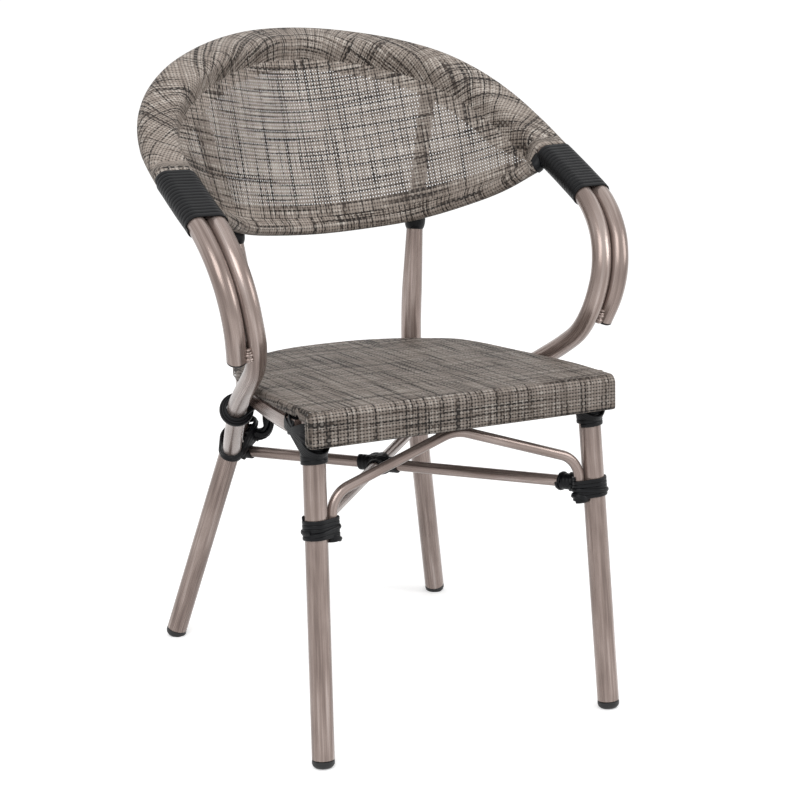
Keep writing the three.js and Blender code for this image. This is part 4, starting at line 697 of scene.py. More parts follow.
def seat_rail_runs():
    """Places on each seat rail, in the seat's frame, with the directions in which it runs."""
    outline = seat_outline()
    joint = outline_share_at(outline, SEAT_RAIL_JOINT_SHARE * SEAT_DEPTH)

    def stations(start, stop, count):
        shares = spaced(start, stop, count)
        return [inset_place(outline, s, SEAT_RAIL_INSET, -SEAT_RAIL_DROP) for s in shares]

    front = front_leg_at(1, FRONT_LEG_TOP).y + 14 + 2 * FIT_GAP - SEAT_FRONT_DEPTH
    start = Vector((SEAT_HALF_WIDTH - SEAT_RAIL_INSET, front, -SEAT_RAIL_DROP))
    side = [(start, BACKWARDS)] + stations(0.01, joint, 40)
    gap = FIT_GAP / outline.length
    rear = stations(joint + gap, 1 - joint - gap, 60)
    return {"right": side, "left": [tuple(flipped(pair, -1)) for pair in side], "rear": rear}


def brace_lines():
    fronts = {side: front_leg_at(sign, BRACE_FRONT_HEIGHT) for side, sign in SIDES.items()}
    rears = {side: rear_leg_at(sign, BRACE_REAR_HEIGHT) for side, sign in SIDES.items()}
    share = rears["right"].x / (rears["right"].x + fronts["right"].x)
    return fronts, rears, rears["left"].lerp(fronts["right"], share)


# Rattan


def strip_outline(width, thickness):
    """A flat strip's section with rounded edges: x along the tube, y out from it."""
    corner = thickness / 2 * 0.9
    x, y = width / 2 - corner, thickness / 2 - corner
    found = []
    for cx, cy, start in ((x, y, 0), (-x, y, 90), (-x, -y, 180), (x, -y, 270)):
        for angle in (math.radians(start + 45 * step) for step in range(3)):
            found.append((cx + corner * math.cos(angle), cy + corner * math.sin(angle)))
    return found


def tight_turn(circles, steps, sides=96):
    """A belt round circles (x, y, radius) as evenly spaced points, with the way out from each."""
    angles = [2 * math.pi * i / sides for i in range(sides)]
    dots = [Vector((x + r * math.cos(a), y + r * math.sin(a))) for x, y, r in circles for a in angles]
    hull = [dots[i] for i in convex_hull_2d(dots)]
    area = sum(a.x * b.y - b.x * a.y for a, b in zip(hull, hull[1:] + hull[:1]))
    if area < 0:
        hull.reverse()
    first = max(range(len(hull)), key=lambda i: hull[i].x)
    hull = hull[first:] + hull[:first]
    ring = Run([p.to_3d() for p in hull + hull[:1]])
    found = []
    for i in range(steps):
        ahead = ring.at(((i + 0.3) / steps) % 1) - ring.at(((i - 0.3) / steps) % 1)
        found.append((ring.at(i / steps).to_2d(), Vector((ahead.y, -ahead.x)).normalized()))
    return found


def wind(bm, circles, matrix_at, turns, start, pitch, width, thickness, steps=40, phase=0.0):
    """One unbroken strip wound round circles, whose turns advance by the pitch."""
    turn = tight_turn(circles, steps)
    centres, outs = [], []
    total = round(turns * steps)
    for i in range(total + 1):
        flat, out = turn[(i + round(phase * steps)) % steps]
        matrix = matrix_at(start + pitch * i / steps)
        flat = flat + out * thickness / 2
        centres.append(matrix @ Vector((flat.x, flat.y, 0)))
        outs.append((matrix.to_3x3() @ Vector((out.x, out.y, 0))).normalized())
    matrices = []
    for i, place in enumerate(centres):
        ahead = (centres[min(i + 1, total)] - centres[max(i - 1, 0)]).normalized()
        out = (outs[i] - ahead * outs[i].dot(ahead)).normalized()
        matrices.append(framed(place, out.cross(ahead), out, ahead))
    sweep(bm, strip_outline(width, thickness), matrices)


def rods_in_plane(rods, matrix):
    """Circles that fill the ovals in which rods (from, to, radius) cross a matrix's plane."""
    back = matrix.inverted()
    found = []
    for start, stop, radius in rods:
        a, b = back @ start, back @ stop
        run = b - a
        share = -a.z / run.z if abs(run.z) > 1e-6 else 0.5
        place = (a + run * min(max(share, 0), 1)).to_2d()
        slope = max(abs(run.normalized().z), 0.45)
        if slope > 0.999:
            found.append((place.x, place.y, radius))
            continue
        axis = run.to_2d().normalized()
        focus = radius * math.sqrt(1 / slope**2 - 1)
        for step in range(-3, 4):
            reach = focus**2 * slope / radius * step / 3
            size = radius * math.sqrt(max(1 - (reach / focus) ** 2, 0))
            found.append((place.x + axis.x * reach, place.y + axis.y * reach, size))
    return found


def lash(bm, rods, centre, axis, turns, spread, tilt=0.0, lean=BACKWARDS, size=None):
    """Turns of strip round several rods at once, spread along an axis that may be tilted."""
    rattan = bpy.context.scene.armchair_rattan
    width, thickness = size or (rattan.strip_width / MM, rattan.strip_thickness / MM)
    axis = Matrix.Rotation(math.radians(tilt), 3, lean.normalized()) @ axis.normalized()
    turn = axis.to_track_quat("Z", "Y").to_matrix().to_4x4()

    def matrix_at(travel):
        return Matrix.Translation(centre + axis * travel) @ turn

    circles = rods_in_plane(rods, matrix_at(0))
    wind(bm, circles, matrix_at, turns, -spread / 2, spread / max(turns, 1), width, thickness)


# Settings


def length(name, description, default):
    return FloatProperty(name=name, description=description, default=default, unit="LENGTH")


class TubeSizes(bpy.types.PropertyGroup):
    """Outer diameters of the chair's tubes."""

    leg_diameter: length("Leg", "Outer diameter of the legs", 0.028)
    arm_diameter: length("Arm", "Outer diameter of arm and hoop tubes", 0.025)
    brace_diameter: length("Brace", "Outer diameter of the crossed braces", 0.015)
    arch_diameter: length("Arch", "Outer diameter of the front arch", 0.013)
    rail_diameter: length("Back rail", "Outer diameter of the back's lower rail", 0.016)
    post_top_diameter: length("Post top", "Outer diameter of a post's top", 0.021)


class ClothSettings(bpy.types.PropertyGroup):
    """The woven mesh."""

    back_pitch_across: length("Back pitch across", "From one upright thread of the back to the next", 0.004)
    back_pitch_up: length("Back pitch up", "From one level thread of the back to the next", 0.0047)
    seat_pitch_across: length("Seat pitch across", "From one lengthwise thread to the next", 0.00428)
    seat_pitch_along: length("Seat pitch along", "From one crosswise thread to the next", 0.00405)
    thickness: length("Thickness", "Thickness of the mesh", 0.00055)
    hole_share: FloatProperty(
        name="Hole", description="Half of an open corner's width, as a share of the pitch", default=0.165
    )
    slit_stretch: FloatProperty(
        name="Slit", description="How much wider the seat's open corners are", default=0.12
    )


class RattanSettings(bpy.types.PropertyGroup):
    """The flat strip of the bindings."""

    strip_width: length("Strip width", "Width of the strip", 0.0069)
    strip_thickness: length("Strip thickness", "Thickness of the strip", 0.0018)
    arm_turns: IntProperty(name="Arm turns", description="Turns round each arm", default=16, min=4)


class StudioSettings(bpy.types.PropertyGroup):
    """Floor and lamps."""

    floor_colour: FloatVectorProperty(
        name="Floor", description="Colour of the floor", subtype="COLOR", default=linear("#fdfdfd")
    )
    floor_lift: FloatProperty(
        name="Floor lift", description="Brings the floor to white where it is seen", default=0.36
    )
    key_power: FloatProperty(
        name="Key lamp", description="Power of the large lamp", default=32, unit="POWER"
    )
    fill_power: FloatProperty(
        name="Fill lamp", description="Power of the second lamp", default=21, unit="POWER"
    )
    world_strength: FloatProperty(name="World", description="Strength of the even light", default=0.72)


# Pieces


class Maker:
    """What the chair's operators share."""

    bl_options = {"REGISTER", "UNDO"}

    def radius(self, part):
        return getattr(bpy.context.scene.armchair_tubes, part + "_diameter") / MM / 2


class ARMCHAIR_OT_hoop(Maker, bpy.types.Operator):
    """Adds the two tubes that run side by side round the top of the back"""

    bl_idname = "armchair.hoop"
    bl_label = "Hoop"

    def execute(self, context):
        joint = hoop_share_at_depth(ARM_JOINT_DEPTH) + FIT_GAP / 2 / HOOP.length
        shares = spaced(joint, 1 - joint, 150)
        tube("outer_hoop", [HOOP.at(s) for s in shares], self.radius("arm"), "hoop_tube_outer")
        tube("inner_hoop", [hoop_inner(s) for s in shares], self.radius("arm"), "hoop_tube_inner")
        return {"FINISHED"}


class ARMCHAIR_OT_arms(Maker, bpy.types.Operator):
    """Adds the two tubes of each arm and the plugs in their front ends"""

    bl_idname = "armchair.arms"
    bl_label = "Arms"

    def execute(self, context):
        joint = hoop_share_at_depth(ARM_JOINT_DEPTH) - FIT_GAP / 2 / HOOP.length
        radius = self.radius("arm")
        outer = [HOOP.at(share) for share in spaced(ARM_END_TRIM / HOOP.length, joint, 60)]
        inner = arm_return().stations(9)
        profile = [
            (0, -2.6), (radius * 0.6, -2.5), (radius - 1.2, -2.1), (radius - 0.3, -1.2), (radius, -0.4),
            (radius, 0), (radius - 2, 0), (radius - 2, 6), (0, 6),
        ]
        for side, sign in SIDES.items():
            places = flipped(outer, sign)
            tube(f"outer_arm_{side}", places, radius, f"arm_tube_outer_{side}")
            tube(f"inner_arm_{side}", flipped(inner, sign), radius, f"arm_tube_inner_{side}")
            ahead = (places[1] - places[0]).normalized()
            end = places[0] - ahead * FIT_GAP
            lathe(f"arm_plug_{side}", profile, end, ahead, moulded_black_and_bar_shade, f"arm_end_plug_{side}")
        return {"FINISHED"}


class ARMCHAIR_OT_welds(Maker, bpy.types.Operator):
    """Adds the rippled weld beads that hold each arm's outer tube to its inner one"""

    bl_idname = "armchair.welds"
    bl_label = "Welds"

    def execute(self, context):
        beside = arm_return().stations(1.5)
        shape = Matrix.Diagonal((1.15, 0.85, 0.5, 1))
        for side, sign in SIDES.items():
            bm = bmesh.new()
            for bead in range(WELD_BEADS):
                share = (ARM_END_TRIM + 1 + WELD_STEP * bead) / HOOP.length
                centre = HOOP.at(share)
                near = min(beside, key=lambda p: (p - centre).length)
                ahead = HOOP.ahead(share)
                across = (near - centre).normalized()
                out = ahead.cross(across).normalized()
                if out.y > 0:
                    out = -out
                size = WELD_SIZE + WELD_RIPPLE * math.sin(bead * 2.4) - WELD_SHRINK * bead
                reach = self.radius("arm") * 0.66 - WELD_DRAW * bead
                for way in (1, -1):
                    place = centre.lerp(near, 0.5) + out * way * reach
                    turn = framed(*flipped([place, across, out, ahead], sign))
                    bmesh.ops.create_icosphere(bm, subdivisions=2, radius=size, matrix=turn @ shape)
            own_grain(bm)
            make(f"arm_weld_{side}", bm, bamboo_look_aluminium, auto_smooth=80)
        return {"FINISHED"}


class ARMCHAIR_OT_legs(Maker, bpy.types.Operator):
    """Adds the straight front legs, the bent and swaged rear legs, and their glides"""

    bl_idname = "armchair.legs"
    bl_label = "Legs"

    def execute(self, context):
        radius = self.radius("leg")
        top = next(place for place in self.pair_middles() if place.x > POST_TOP_HALF_SPAN)
        for side, sign in SIDES.items():
            low = front_leg_at(sign, 0)
            up = (front_leg_at(sign, LEAN_GAUGE) - low).normalized()
            line = filled([low + up * GLIDE_HEIGHT, front_leg_at(sign, FRONT_LEG_TOP)])
            tube(f"front_leg_tube_{side}", line, radius, f"front_leg_{side}")
            self.glide(f"front_foot_{side}", low, up, radius, f"front_glide_{side}")

            low, bend = rear_leg_at(sign, 0), rear_leg_at(sign, REAR_BEND[2])
            up = (bend - low).normalized()
            neck = post_at(sign, POST_NECK[2])
            summit = flipped([top], sign)[0]
            reach = (summit - neck).normalized()
            below = radius + POST_TOP_GAP
            corners = [low + up * GLIDE_HEIGHT, bend, neck, summit]
            line = filled(bent(corners, [REAR_BEND_RADIUS, POST_NECK_RADIUS]))
            line = [place for place in line if (place - summit).dot(reach) < -below]
            line.append(summit - reach * below)
            scales = [self.taper(place - bend, neck - bend) for place in line]
            tube(f"rear_leg_tube_{side}", line, radius, f"rear_leg_{side}", scales=scales)
            self.glide(f"rear_foot_{side}", low, up, radius, f"rear_glide_{side}")
        return {"FINISHED"}

    def pair_middles(self):
        """Places between the hoop's two tubes, from the middle of the back outwards."""
        for i in range(SEARCH_STEPS // 2):
            centre, _, inward, _ = hoop_frame(0.5 - i / SEARCH_STEPS)
            yield centre + inward * pair_pitch() / 2

    def taper(self, place, neck):
        """A post's width, as a share of the leg's, at a place measured from the bend, as its neck is."""
        least = self.radius("post_top") / self.radius("leg")
        start = neck.length - POST_TAPER_LENGTH
        part = (place.dot(neck.normalized()) - start) / POST_TAPER_LENGTH
        return 1 + (least - 1) * min(max(part, 0), 1)

    def glide(self, name, place, up, radius, replaced):
        top = GLIDE_HEIGHT - FIT_GAP
        profile = [
            (0, -2.5), (radius * 0.5, -1.6), (radius * 0.78, 0.4), (radius * 0.93, 2.6), (radius, 5),
            (radius, 9), (radius - 0.7, top), (radius - 3, top),
            (radius - 3, GLIDE_HEIGHT + GLIDE_STEM), (0, GLIDE_HEIGHT + GLIDE_STEM),
        ]
        lathe(name, profile, place, up, moulded_black_and_bar_shade, replaced, below=0)


class ARMCHAIR_OT_back_rail(Maker, bpy.types.Operator):
    """Adds the bent rail in the back's lower hem, and the rattan skin on its ends"""

    bl_idname = "armchair.back_rail"
    bl_label = "Back rail"

    def execute(self, context):
        rail, radius = back_rail(), self.radius("rail")
        line = [RAIL_TIP, *rail.stations(7), *flipped([RAIL_TIP], -1)]
        tube("lower_back_rail", line, radius, "back_bottom_rail")
        end = filled([RAIL_TIP, rail.at(0)], 2.5) + rail.stations(2.5, 0, HEM_START_SHARE)[1:]
        for side, sign in SIDES.items():
            bm = bmesh.new()
            sweep(bm, round_outline(radius + RAIL_SKIN), untwisted(flipped(end, sign)))
            make(f"rail_end_skin_{side}", bm, flat_rattan, f"rail_end_wrap_{side}")
        return {"FINISHED"}


class ARMCHAIR_OT_seat_rails(Maker, bpy.types.Operator):
    """Adds the grooved rails under the seat's sides and back, and the flat bar in its front"""

    bl_idname = "armchair.seat_rails"
    bl_label = "Seat rails"

    def execute(self, context):
        radius, groove, band, flange, flange_low = SEAT_RAIL_DIAMETER / 2, 3.4, 13, 8.2, 18.4
        top = SEAT_RAIL_DROP - 2.6 - FIT_GAP
        angles = spaced(math.pi, 2 * math.pi, 24)
        outline = [(radius * math.cos(angle), radius * math.sin(angle)) for angle in angles]
        half = [
            (radius, band - 1.2), (radius - 0.35, band - 0.3), (radius - 1.2, band),
            (groove, band), (groove, flange_low), (flange, flange_low), (flange, top),
        ]
        outline += half + [(-x, z) for x, z in reversed(half)]
        for side, run in seat_rail_runs().items():
            matrices = []
            for place, ahead in run:
                across = ahead.cross(UPWARDS).normalized()
                matrices.append(framed(place, across, UPWARDS, across.cross(UPWARDS)))
            bm = bmesh.new()
            sweep(bm, outline, matrices)
            bmesh.ops.transform(bm, matrix=TO_SEAT, verts=bm.verts)
            name = f"grooved_rail_{side}"
            make(name, bm, bamboo_look_aluminium, f"seat_rail_{side}", auto_smooth=30)
        # The flat bar is black as painted shade: the sleeve's dark inside, seen through the apron's holes
        bm = bmesh.new()
        bmesh.ops.create_cube(bm, size=1)
        size = (2 * SEAT_HALF_WIDTH - 6, SEAT_SLEEVE_DEPTH - 5, SEAT_APRON_DROP - 5)
        bmesh.ops.scale(bm, vec=size, verts=bm.verts)
        move = (0, SEAT_SLEEVE_DEPTH / 2 + 0.4, -SEAT_APRON_DROP / 2)
        bmesh.ops.translate(bm, vec=move, verts=bm.verts)
        rounding = {"offset": 5, "segments": 5, "profile": 0.5, "affect": "EDGES", "material": -1}
        bmesh.ops.bevel(bm, geom=list(bm.edges), **rounding)
        layer = grain_layer(bm)
        for vert in bm.verts:
            vert[layer] = Vector((vert.co.y, vert.co.z, vert.co.x)) * MM
        bmesh.ops.transform(bm, matrix=TO_SEAT, verts=bm.verts)
        make("front_bar", bm, moulded_black_and_bar_shade, "seat_front_rail", slot="tube")
        return {"FINISHED"}


class ARMCHAIR_OT_arch(Maker, bpy.types.Operator):
    """Adds the arched stretcher between the front legs"""

    bl_idname = "armchair.arch"
    bl_label = "Front arch"

    def execute(self, context):
        spread = self.radius("leg") + self.radius("arch") + FIT_GAP
        feet = [front_leg_at(1, height) for height in (ARCH_FOOT_HEIGHT, ARCH_SHOULDER_HEIGHT)]
        feet = [foot - SIDEWAYS * spread for foot in feet]
        corners = [*flipped(feet, -1), Vector(ARCH_PEAK), *reversed(feet)]
        radii = [ARCH_SHOULDER_RADIUS, ARCH_PEAK_RADIUS, ARCH_SHOULDER_RADIUS]
        tube("front_arch_tube", filled(bent(corners, radii)), self.radius("arch"), "front_arch")
        return {"FINISHED"}


class ARMCHAIR_OT_braces(Maker, bpy.types.Operator):
    """Adds the two crossed braces, one of which runs through"""

    bl_idname = "armchair.braces"
    bl_label = "Crossed braces"

    def execute(self, context):
        fronts, rears, crossing = brace_lines()
        radius, leg = self.radius("brace"), self.radius("leg")
        at_front, at_rear = leg + BRACE_FRONT_GAP, leg + BRACE_REAR_GAP
        at_middle = radius * BRACE_CROSSING_SHARE
        for name, start, stop, trim_start, trim_stop, replaced in (
            ("through_brace", rears["left"], fronts["right"], at_rear, at_front, "cross_brace"),
            ("front_half_brace", fronts["left"], crossing, at_front, at_middle, "cross_brace_front_half"),
            ("rear_half_brace", rears["right"], crossing, at_rear, at_middle, "cross_brace_rear_half"),
        ):
            ahead = (stop - start).normalized()
            tube(name, filled([start + ahead * trim_start, stop - ahead * trim_stop]), radius, replaced)
        return {"FINISHED"}


def third(p, q, from_p, from_q, side):
    """The point of a flat triangle over the line from p to q: on its right where side is 1."""
    run = q - p
    axis = run.normalized()
    along = (from_p**2 - from_q**2 + run.length**2) / (2 * run.length)
    out = math.sqrt(max(from_p**2 - along**2, 0))
    return p + axis * along + Vector((axis.y, -axis.x)) * out * side


def unrolled(lower, upper):
    """The flat places of two lines joined by straight rulings, laid out from the middle one."""
    middle = len(lower) // 2
    rise = (upper[middle] - lower[middle]).length
    flat = {middle: (Vector((0, 0)), Vector((0, rise)))}
    for step in (1, -1):
        index = middle
        while 0 <= index + step < len(lower):
            on = index + step
            low, top = flat[index]
            run = (lower[on] - lower[index]).length
            new_low = third(low, top, run, (lower[on] - upper[index]).length, -step)
            rise = (upper[on] - lower[on]).length
            new_top = third(new_low, top, rise, (upper[on] - upper[index]).length, -step)
            flat[on] = (new_low, new_top)
            index = on
    return flat


def sheet_mesh(sections, cloths, layers, pitches):
    """A sheet through columns of places; each knows how many threads across and up it lies."""
    columns, rows = len(sections) - 1, len(sections[0]) - 1
    bm = bmesh.new()
    bmesh.ops.create_grid(bm, x_segments=columns, y_segments=rows, size=1)
    layer = grain_layer(bm, "threads")
    where = {}
    for vert in bm.verts:
        i = round((vert.co.x + 1) / 2 * columns)
        j = round((vert.co.y + 1) / 2 * rows)
        vert.co = sections[i][j]
        vert[layer] = (cloths[i][j].x / pitches[0], cloths[i][j].y / pitches[1], layers[i][j])
        where[vert] = (i, j)
    return bm, where


def sheet_piece(name, bm, sections, cloths, held_by, *nodes):
    piece = make(name, bm, woven_mesh, *nodes, auto_smooth=180)
    wall = piece.modifiers.new("cloth_thickness", "SOLIDIFY")
    wall.thickness = bpy.context.scene.armchair_cloth.thickness
    wall.offset = 0
    across = [place.x for column in cloths for place in column]
    along = [place.y for column in cloths for place in column]
    width, height = (max(across) - min(across)) * MM, (max(along) - min(along)) * MM
    area = 0.0
    for a, b in zip(sections, sections[1:]):
        for j in range(len(a) - 1):
            area += (b[j] - a[j]).cross(a[j + 1] - a[j]).length / 2
            area += (b[j + 1] - b[j]).cross(b[j + 1] - a[j + 1]).length / 2
    area = min(area * MM * MM, width * height)


class ARMCHAIR_OT_back_sling(Maker, bpy.types.Operator):
    """Adds the back's mesh: one sheet from the hem round the lower rail to the hem round the hoop"""

    bl_idname = "armchair.back_sling"
    bl_label = "Back sling"

    def execute(self, context):
        cloth = context.scene.armchair_cloth
        rail = back_rail()
        start = hoop_share_at_depth(ARM_WRAP_BACK_DEPTH) + 2 * FIT_GAP / HOOP.length
        shares = spaced(start, 1 - start, BACK_COLUMNS)
        rail_shares = spaced(HEM_START_SHARE, 1 - HEM_START_SHARE, BACK_COLUMNS)
        sections, layers = [], []
        for share, rail_share in zip(shares, rail_shares):
            top, low = hoop_inner(share), rail.at(rail_share)
            fall = (low - top).normalized()
            back = fall.cross(HOOP.ahead(share)).normalized()
            upper = self.top_hem(share, fall, back, cloth)
            lower = self.low_hem(low, rail.ahead(rail_share), fall, back, cloth)
            ruling = (upper[0] - lower[-1]).length
            away = (2 * (share - start) / (1 - 2 * start) - 1) ** 2
            deep = min(FLAP_IN_MIDDLE + (FLAP_AT_SIDES - FLAP_IN_MIDDLE) * away, FLAP_SHARE * ruling)
            shallow = min(LOW_FLAP, LOW_FLAP_SHARE * ruling)
            behind = back * FLAP_BEHIND
            up = [k / PANEL_ROWS for k in range(1, PANEL_ROWS)]
            panel = [lower[-1].lerp(upper[0], k) for k in up]
            flap = [upper[-1] + fall * k + behind for k in spaced(0, deep, FLAP_STEPS)[1:]]
            hem = [lower[0] - fall * k + behind for k in spaced(shallow, 0, LOW_FLAP_STEPS)[:-1]]
            sections.append(hem + lower + panel + upper + flap)
            single = [deep < ruling * (1 - k) and shallow < ruling * k for k in up]
            before, after = len(hem) + len(lower), len(upper) + len(flap)
            layers.append([1] * before + [0 if row else 1 for row in single] + [1] * after)
        cloths = self.flat_places(sections, LOW_FLAP_STEPS + LOW_HEM_STEPS)
        pitches = cloth.back_pitch_across / MM, cloth.back_pitch_up / MM
        bm, _ = sheet_mesh(sections, cloths, layers, pitches)
        held_by = ["outer_hoop", "inner_hoop", "lower_back_rail"]
        nodes = ["back_sling", "back_sling_hem_top", "back_sling_hem_bottom"]
        sheet_piece("back_mesh", bm, sections, cloths, held_by, *nodes)
        return {"FINISHED"}

    def top_hem(self, share, fall, back, cloth):
        """A turn round both tubes of the hoop, from the seam below them and back to it."""
        centre, _, inward, over = hoop_frame(share)
        radius = self.radius("arm") + cloth.thickness / MM / 2 + FIT_GAP
        flat = Vector((fall.dot(inward), fall.dot(over))).normalized()
        pitch = pair_pitch()
        reach = radius + SEAM_REACH
        seam = Vector((pitch + flat.x * reach, flat.y * reach))
        circles = [(0, 0, radius), (pitch, 0, radius), (seam.x, seam.y, SEAM_RADIUS)]
        front = back.dot(inward) * flat.y - back.dot(over) * flat.x > 0
        loop = self.loop(circles, seam, HEM_STEPS, front)
        return [centre + inward * p.x + over * p.y for p in loop]

    def low_hem(self, low, along, fall, back, cloth):
        """A turn round the lower rail, which ends at the seam above it."""
        radius = self.radius("rail") + cloth.thickness / MM / 2 + FIT_GAP
        rise = (-fall + along * fall.dot(along)).normalized()
        across = along.cross(rise).normalized()
        reach = radius + LOW_SEAM_REACH
        circles = [(0, 0, radius), (reach, 0, SEAM_RADIUS)]
        loop = self.loop(circles, Vector((reach, 0)), LOW_HEM_STEPS, back.dot(across) < 0)
        return [low + rise * p.x + across * p.y for p in reversed(loop)]

    def loop(self, circles, seam, steps, reverse):
        """A tight turn from the seam round to the seam again."""
        ring = [place for place, _ in tight_turn(circles, 6 * steps)]
        first = min(range(len(ring)), key=lambda i: (ring[i] - seam).length)
        ring = ring[first:] + ring[: first + 1]
        if reverse:
            ring.reverse()
        line = Run([place.to_3d() for place in ring])
        return [line.at(i / steps).to_2d() for i in range(steps + 1)]

    def flat_places(self, sections, low):
        """Where each place lies in the flat sheet: the panel unrolled, the hems square to its seams."""
        top = low + PANEL_ROWS
        rulings = unrolled([s[low] for s in sections], [s[top] for s in sections])
        cloths = []
        for i, section in enumerate(sections):
            bottom, summit = rulings[i]
            places = [None] * len(section)
            for j in range(low, top + 1):
                places[j] = bottom.lerp(summit, (j - low) / PANEL_ROWS)
            before, after = rulings[max(i - 1, 0)], rulings[min(i + 1, len(sections) - 1)]
            for seam, step, end in ((top, 1, 1), (low, -1, 0)):
                ahead = after[end] - before[end]
                out = Vector((-ahead.y, ahead.x)).normalized()
                if out.dot(summit - bottom) * step < 0:
                    out = -out
                travel = 0.0
                j = seam + step
                while 0 <= j < len(section):
                    travel += (section[j] - section[j - step]).length
                    places[j] = places[seam] + out * travel
                    j += step
            cloths.append(places)
        return cloths


class ARMCHAIR_OT_seat_sling(Maker, bpy.types.Operator):
    """Adds the seat's mesh: one sheet over the top, round the front edge and down the apron"""

    bl_idname = "armchair.seat_sling"
    bl_label = "Seat sling"

    def execute(self, context):
        cloth = context.scene.armchair_cloth
        outline = seat_outline()
        *apron, (nose, _, nose_travel) = self.front_profile()
        inset = cloth.thickness / MM / 2
        half = SEAT_HALF_WIDTH - inset
        rim = KDTree(601)
        for i, share in enumerate(spaced(0, 1, 600)):
            rim.insert(outline.at(share), i)
        rim.balance()
        top_at = self.top(outline, half, nose.y, inset)
        sections, cloths = [], []
        for u in spaced(0, 1, SEAT_COLUMNS):
            # Columns crowd at the sides, and rows at the back
            evenly = (0.5 - u) * (1 - 2 * SIDE_CROWDING_SHARE)
            u = 0.5 - math.cos(math.pi * u) * SIDE_CROWDING_SHARE - evenly
            x = half * (2 * u - 1)
            section, places = [], []
            for place, normal, travel in apron:
                drop = self.rolled(half - abs(x)) + inset
                section.append(Vector((x, place.y, place.z)) - normal * drop)
                places.append(Vector((x, travel)))
            for v in spaced(0, 1, SEAT_ROWS):
                spot = top_at(u, min(v + BACK_CROWDING_SHARE * math.sin(math.pi * v) * v, 1))
                places.append(Vector((spot.x, nose_travel + spot.y - nose.y)))
                near = SEAT_HALF_WIDTH - abs(spot.x)
                if spot.y > SEAT_FRONT_SHARE * SEAT_DEPTH:
                    near = rim.find(spot)[2]
                spot.z = -self.rolled(near - inset) - inset
                section.append(spot)
            sections.append(section)
            cloths.append(places)
        pitches = cloth.seat_pitch_across / MM, cloth.seat_pitch_along / MM
        layers = [[-1] * len(section) for section in sections]
        bm, where = sheet_mesh(sections, cloths, layers, pitches)
        self.turn_in(bm, where, pitches, apron)
        bmesh.ops.transform(bm, matrix=TO_SEAT, verts=bm.verts)
        held_by = ["front_bar", "grooved_rail_left"]
        sheet_piece("seat_mesh", bm, sections, cloths, held_by, "seat_sling")
        return {"FINISHED"}

    def rolled(self, near):
        """How far the cloth sinks where it rolls over an edge, at a distance from it."""
        past = SEAT_EDGE_RADIUS - min(max(near, 0), SEAT_EDGE_RADIUS)
        return SEAT_EDGE_RADIUS - math.sqrt(SEAT_EDGE_RADIUS**2 - past**2)

    def top(self, outline, half, start, inset):
        """A Coons patch between the front line, the two sides and the back."""
        corner = outline_share_at(outline, SEAT_CORNER_SHARE * SEAT_DEPTH)
        edge = [inset_place(outline, s, inset, 0)[0] for s in spaced(0, corner, 60)]
        side = Run([Vector((half, start, 0)), *edge])
        rear = Run([inset_place(outline, s, inset, 0)[0] for s in spaced(corner, 1 - corner, 80)])

        def top_at(u, v):
            right = side.at(v)
            left = flipped([right], -1)[0]
            front = Vector((half * (2 * u - 1), start, 0))
            corners = (
                Vector((-half, start, 0)) * (1 - u) * (1 - v)
                + Vector((half, start, 0)) * u * (1 - v)
                + rear.at(1) * (1 - u) * v
                + rear.at(0) * u * v
            )
            return front * (1 - v) + rear.at(1 - u) * v + left * (1 - u) + right * u - corners

        return top_at

    def front_profile(self):
        """The sleeve from its back, under, up the front and over the nose: place, way out, travel."""
        nose, low, depth, drop = SEAT_NOSE_RADIUS, SLEEVE_RADIUS, SEAT_SLEEVE_DEPTH, SEAT_APRON_DROP

        def arc(y, z, radius, start, stop, steps):
            turns = [math.radians(angle) for angle in spaced(start, stop, steps)]
            outs = [Vector((0, math.cos(turn), math.sin(turn))) for turn in turns]
            return [(Vector((0, y, z)) + out * radius, out) for out in outs]

        rise = (drop - low - nose) / 8
        line = [
            *((Vector((0, depth, -SLEEVE_RETURN_DROP - 4 * i)), BACKWARDS) for i in range(8)),
            *arc(depth - low, low - drop, low, 0, -90, 6),
            *arc(low, low - drop, low, -90, -180, 6),
            *((Vector((0, 0, low - drop + rise * i)), -BACKWARDS) for i in range(1, 8)),
            *arc(nose, -nose, nose, 180, 90, 10),
            *((Vector((0, nose + 4 * i, 0)), UPWARDS) for i in range(1, 4)),
        ]
        marks = [0.0]
        for (a, _), (b, _) in zip(line, line[1:]):
            marks.append(marks[-1] + (b - a).length)
        zero = marks[-1] - line[-1][0].y
        return [(place, out, mark - zero) for (place, out), mark in zip(line, marks)]

    def turn_in(self, bm, where, pitches, apron):
        """Turns the sheet's sides and back down and in, in two steps."""
        layer = grain_layer(bm, "threads")
        last_column = max(i for i, _ in where.values())
        edges = [e for e in bm.edges if e.is_boundary and any(where[v][1] for v in e.verts)]
        for _ in range(2):
            verts, edges = extruded(bm, edges)
            turned = {}
            for vert in verts:
                others = (edge.other_vert(vert) for edge in vert.link_edges)
                i, j = next(where[other] for other in others if other in where)
                side = {0: -1, last_column: 1}.get(i, 0)
                inward, reach = -UPWARDS, SEAT_HEM
                if j < len(apron):
                    inward = -apron[j][1]
                elif j > len(apron) + 2:
                    reach = (SEAT_EDGE_DROP - SEAT_EDGE_RADIUS) / 2
                vert.co += inward * reach
                flat = vert[layer]
                up = flat.y + (0 if side else reach / pitches[1])
                vert[layer] = (flat.x + side * reach / pitches[0], up, -1)
                turned[vert] = (i, j)
            edges = [edge for edge in edges if all(vert in turned for vert in edge.verts)]
            where = turned


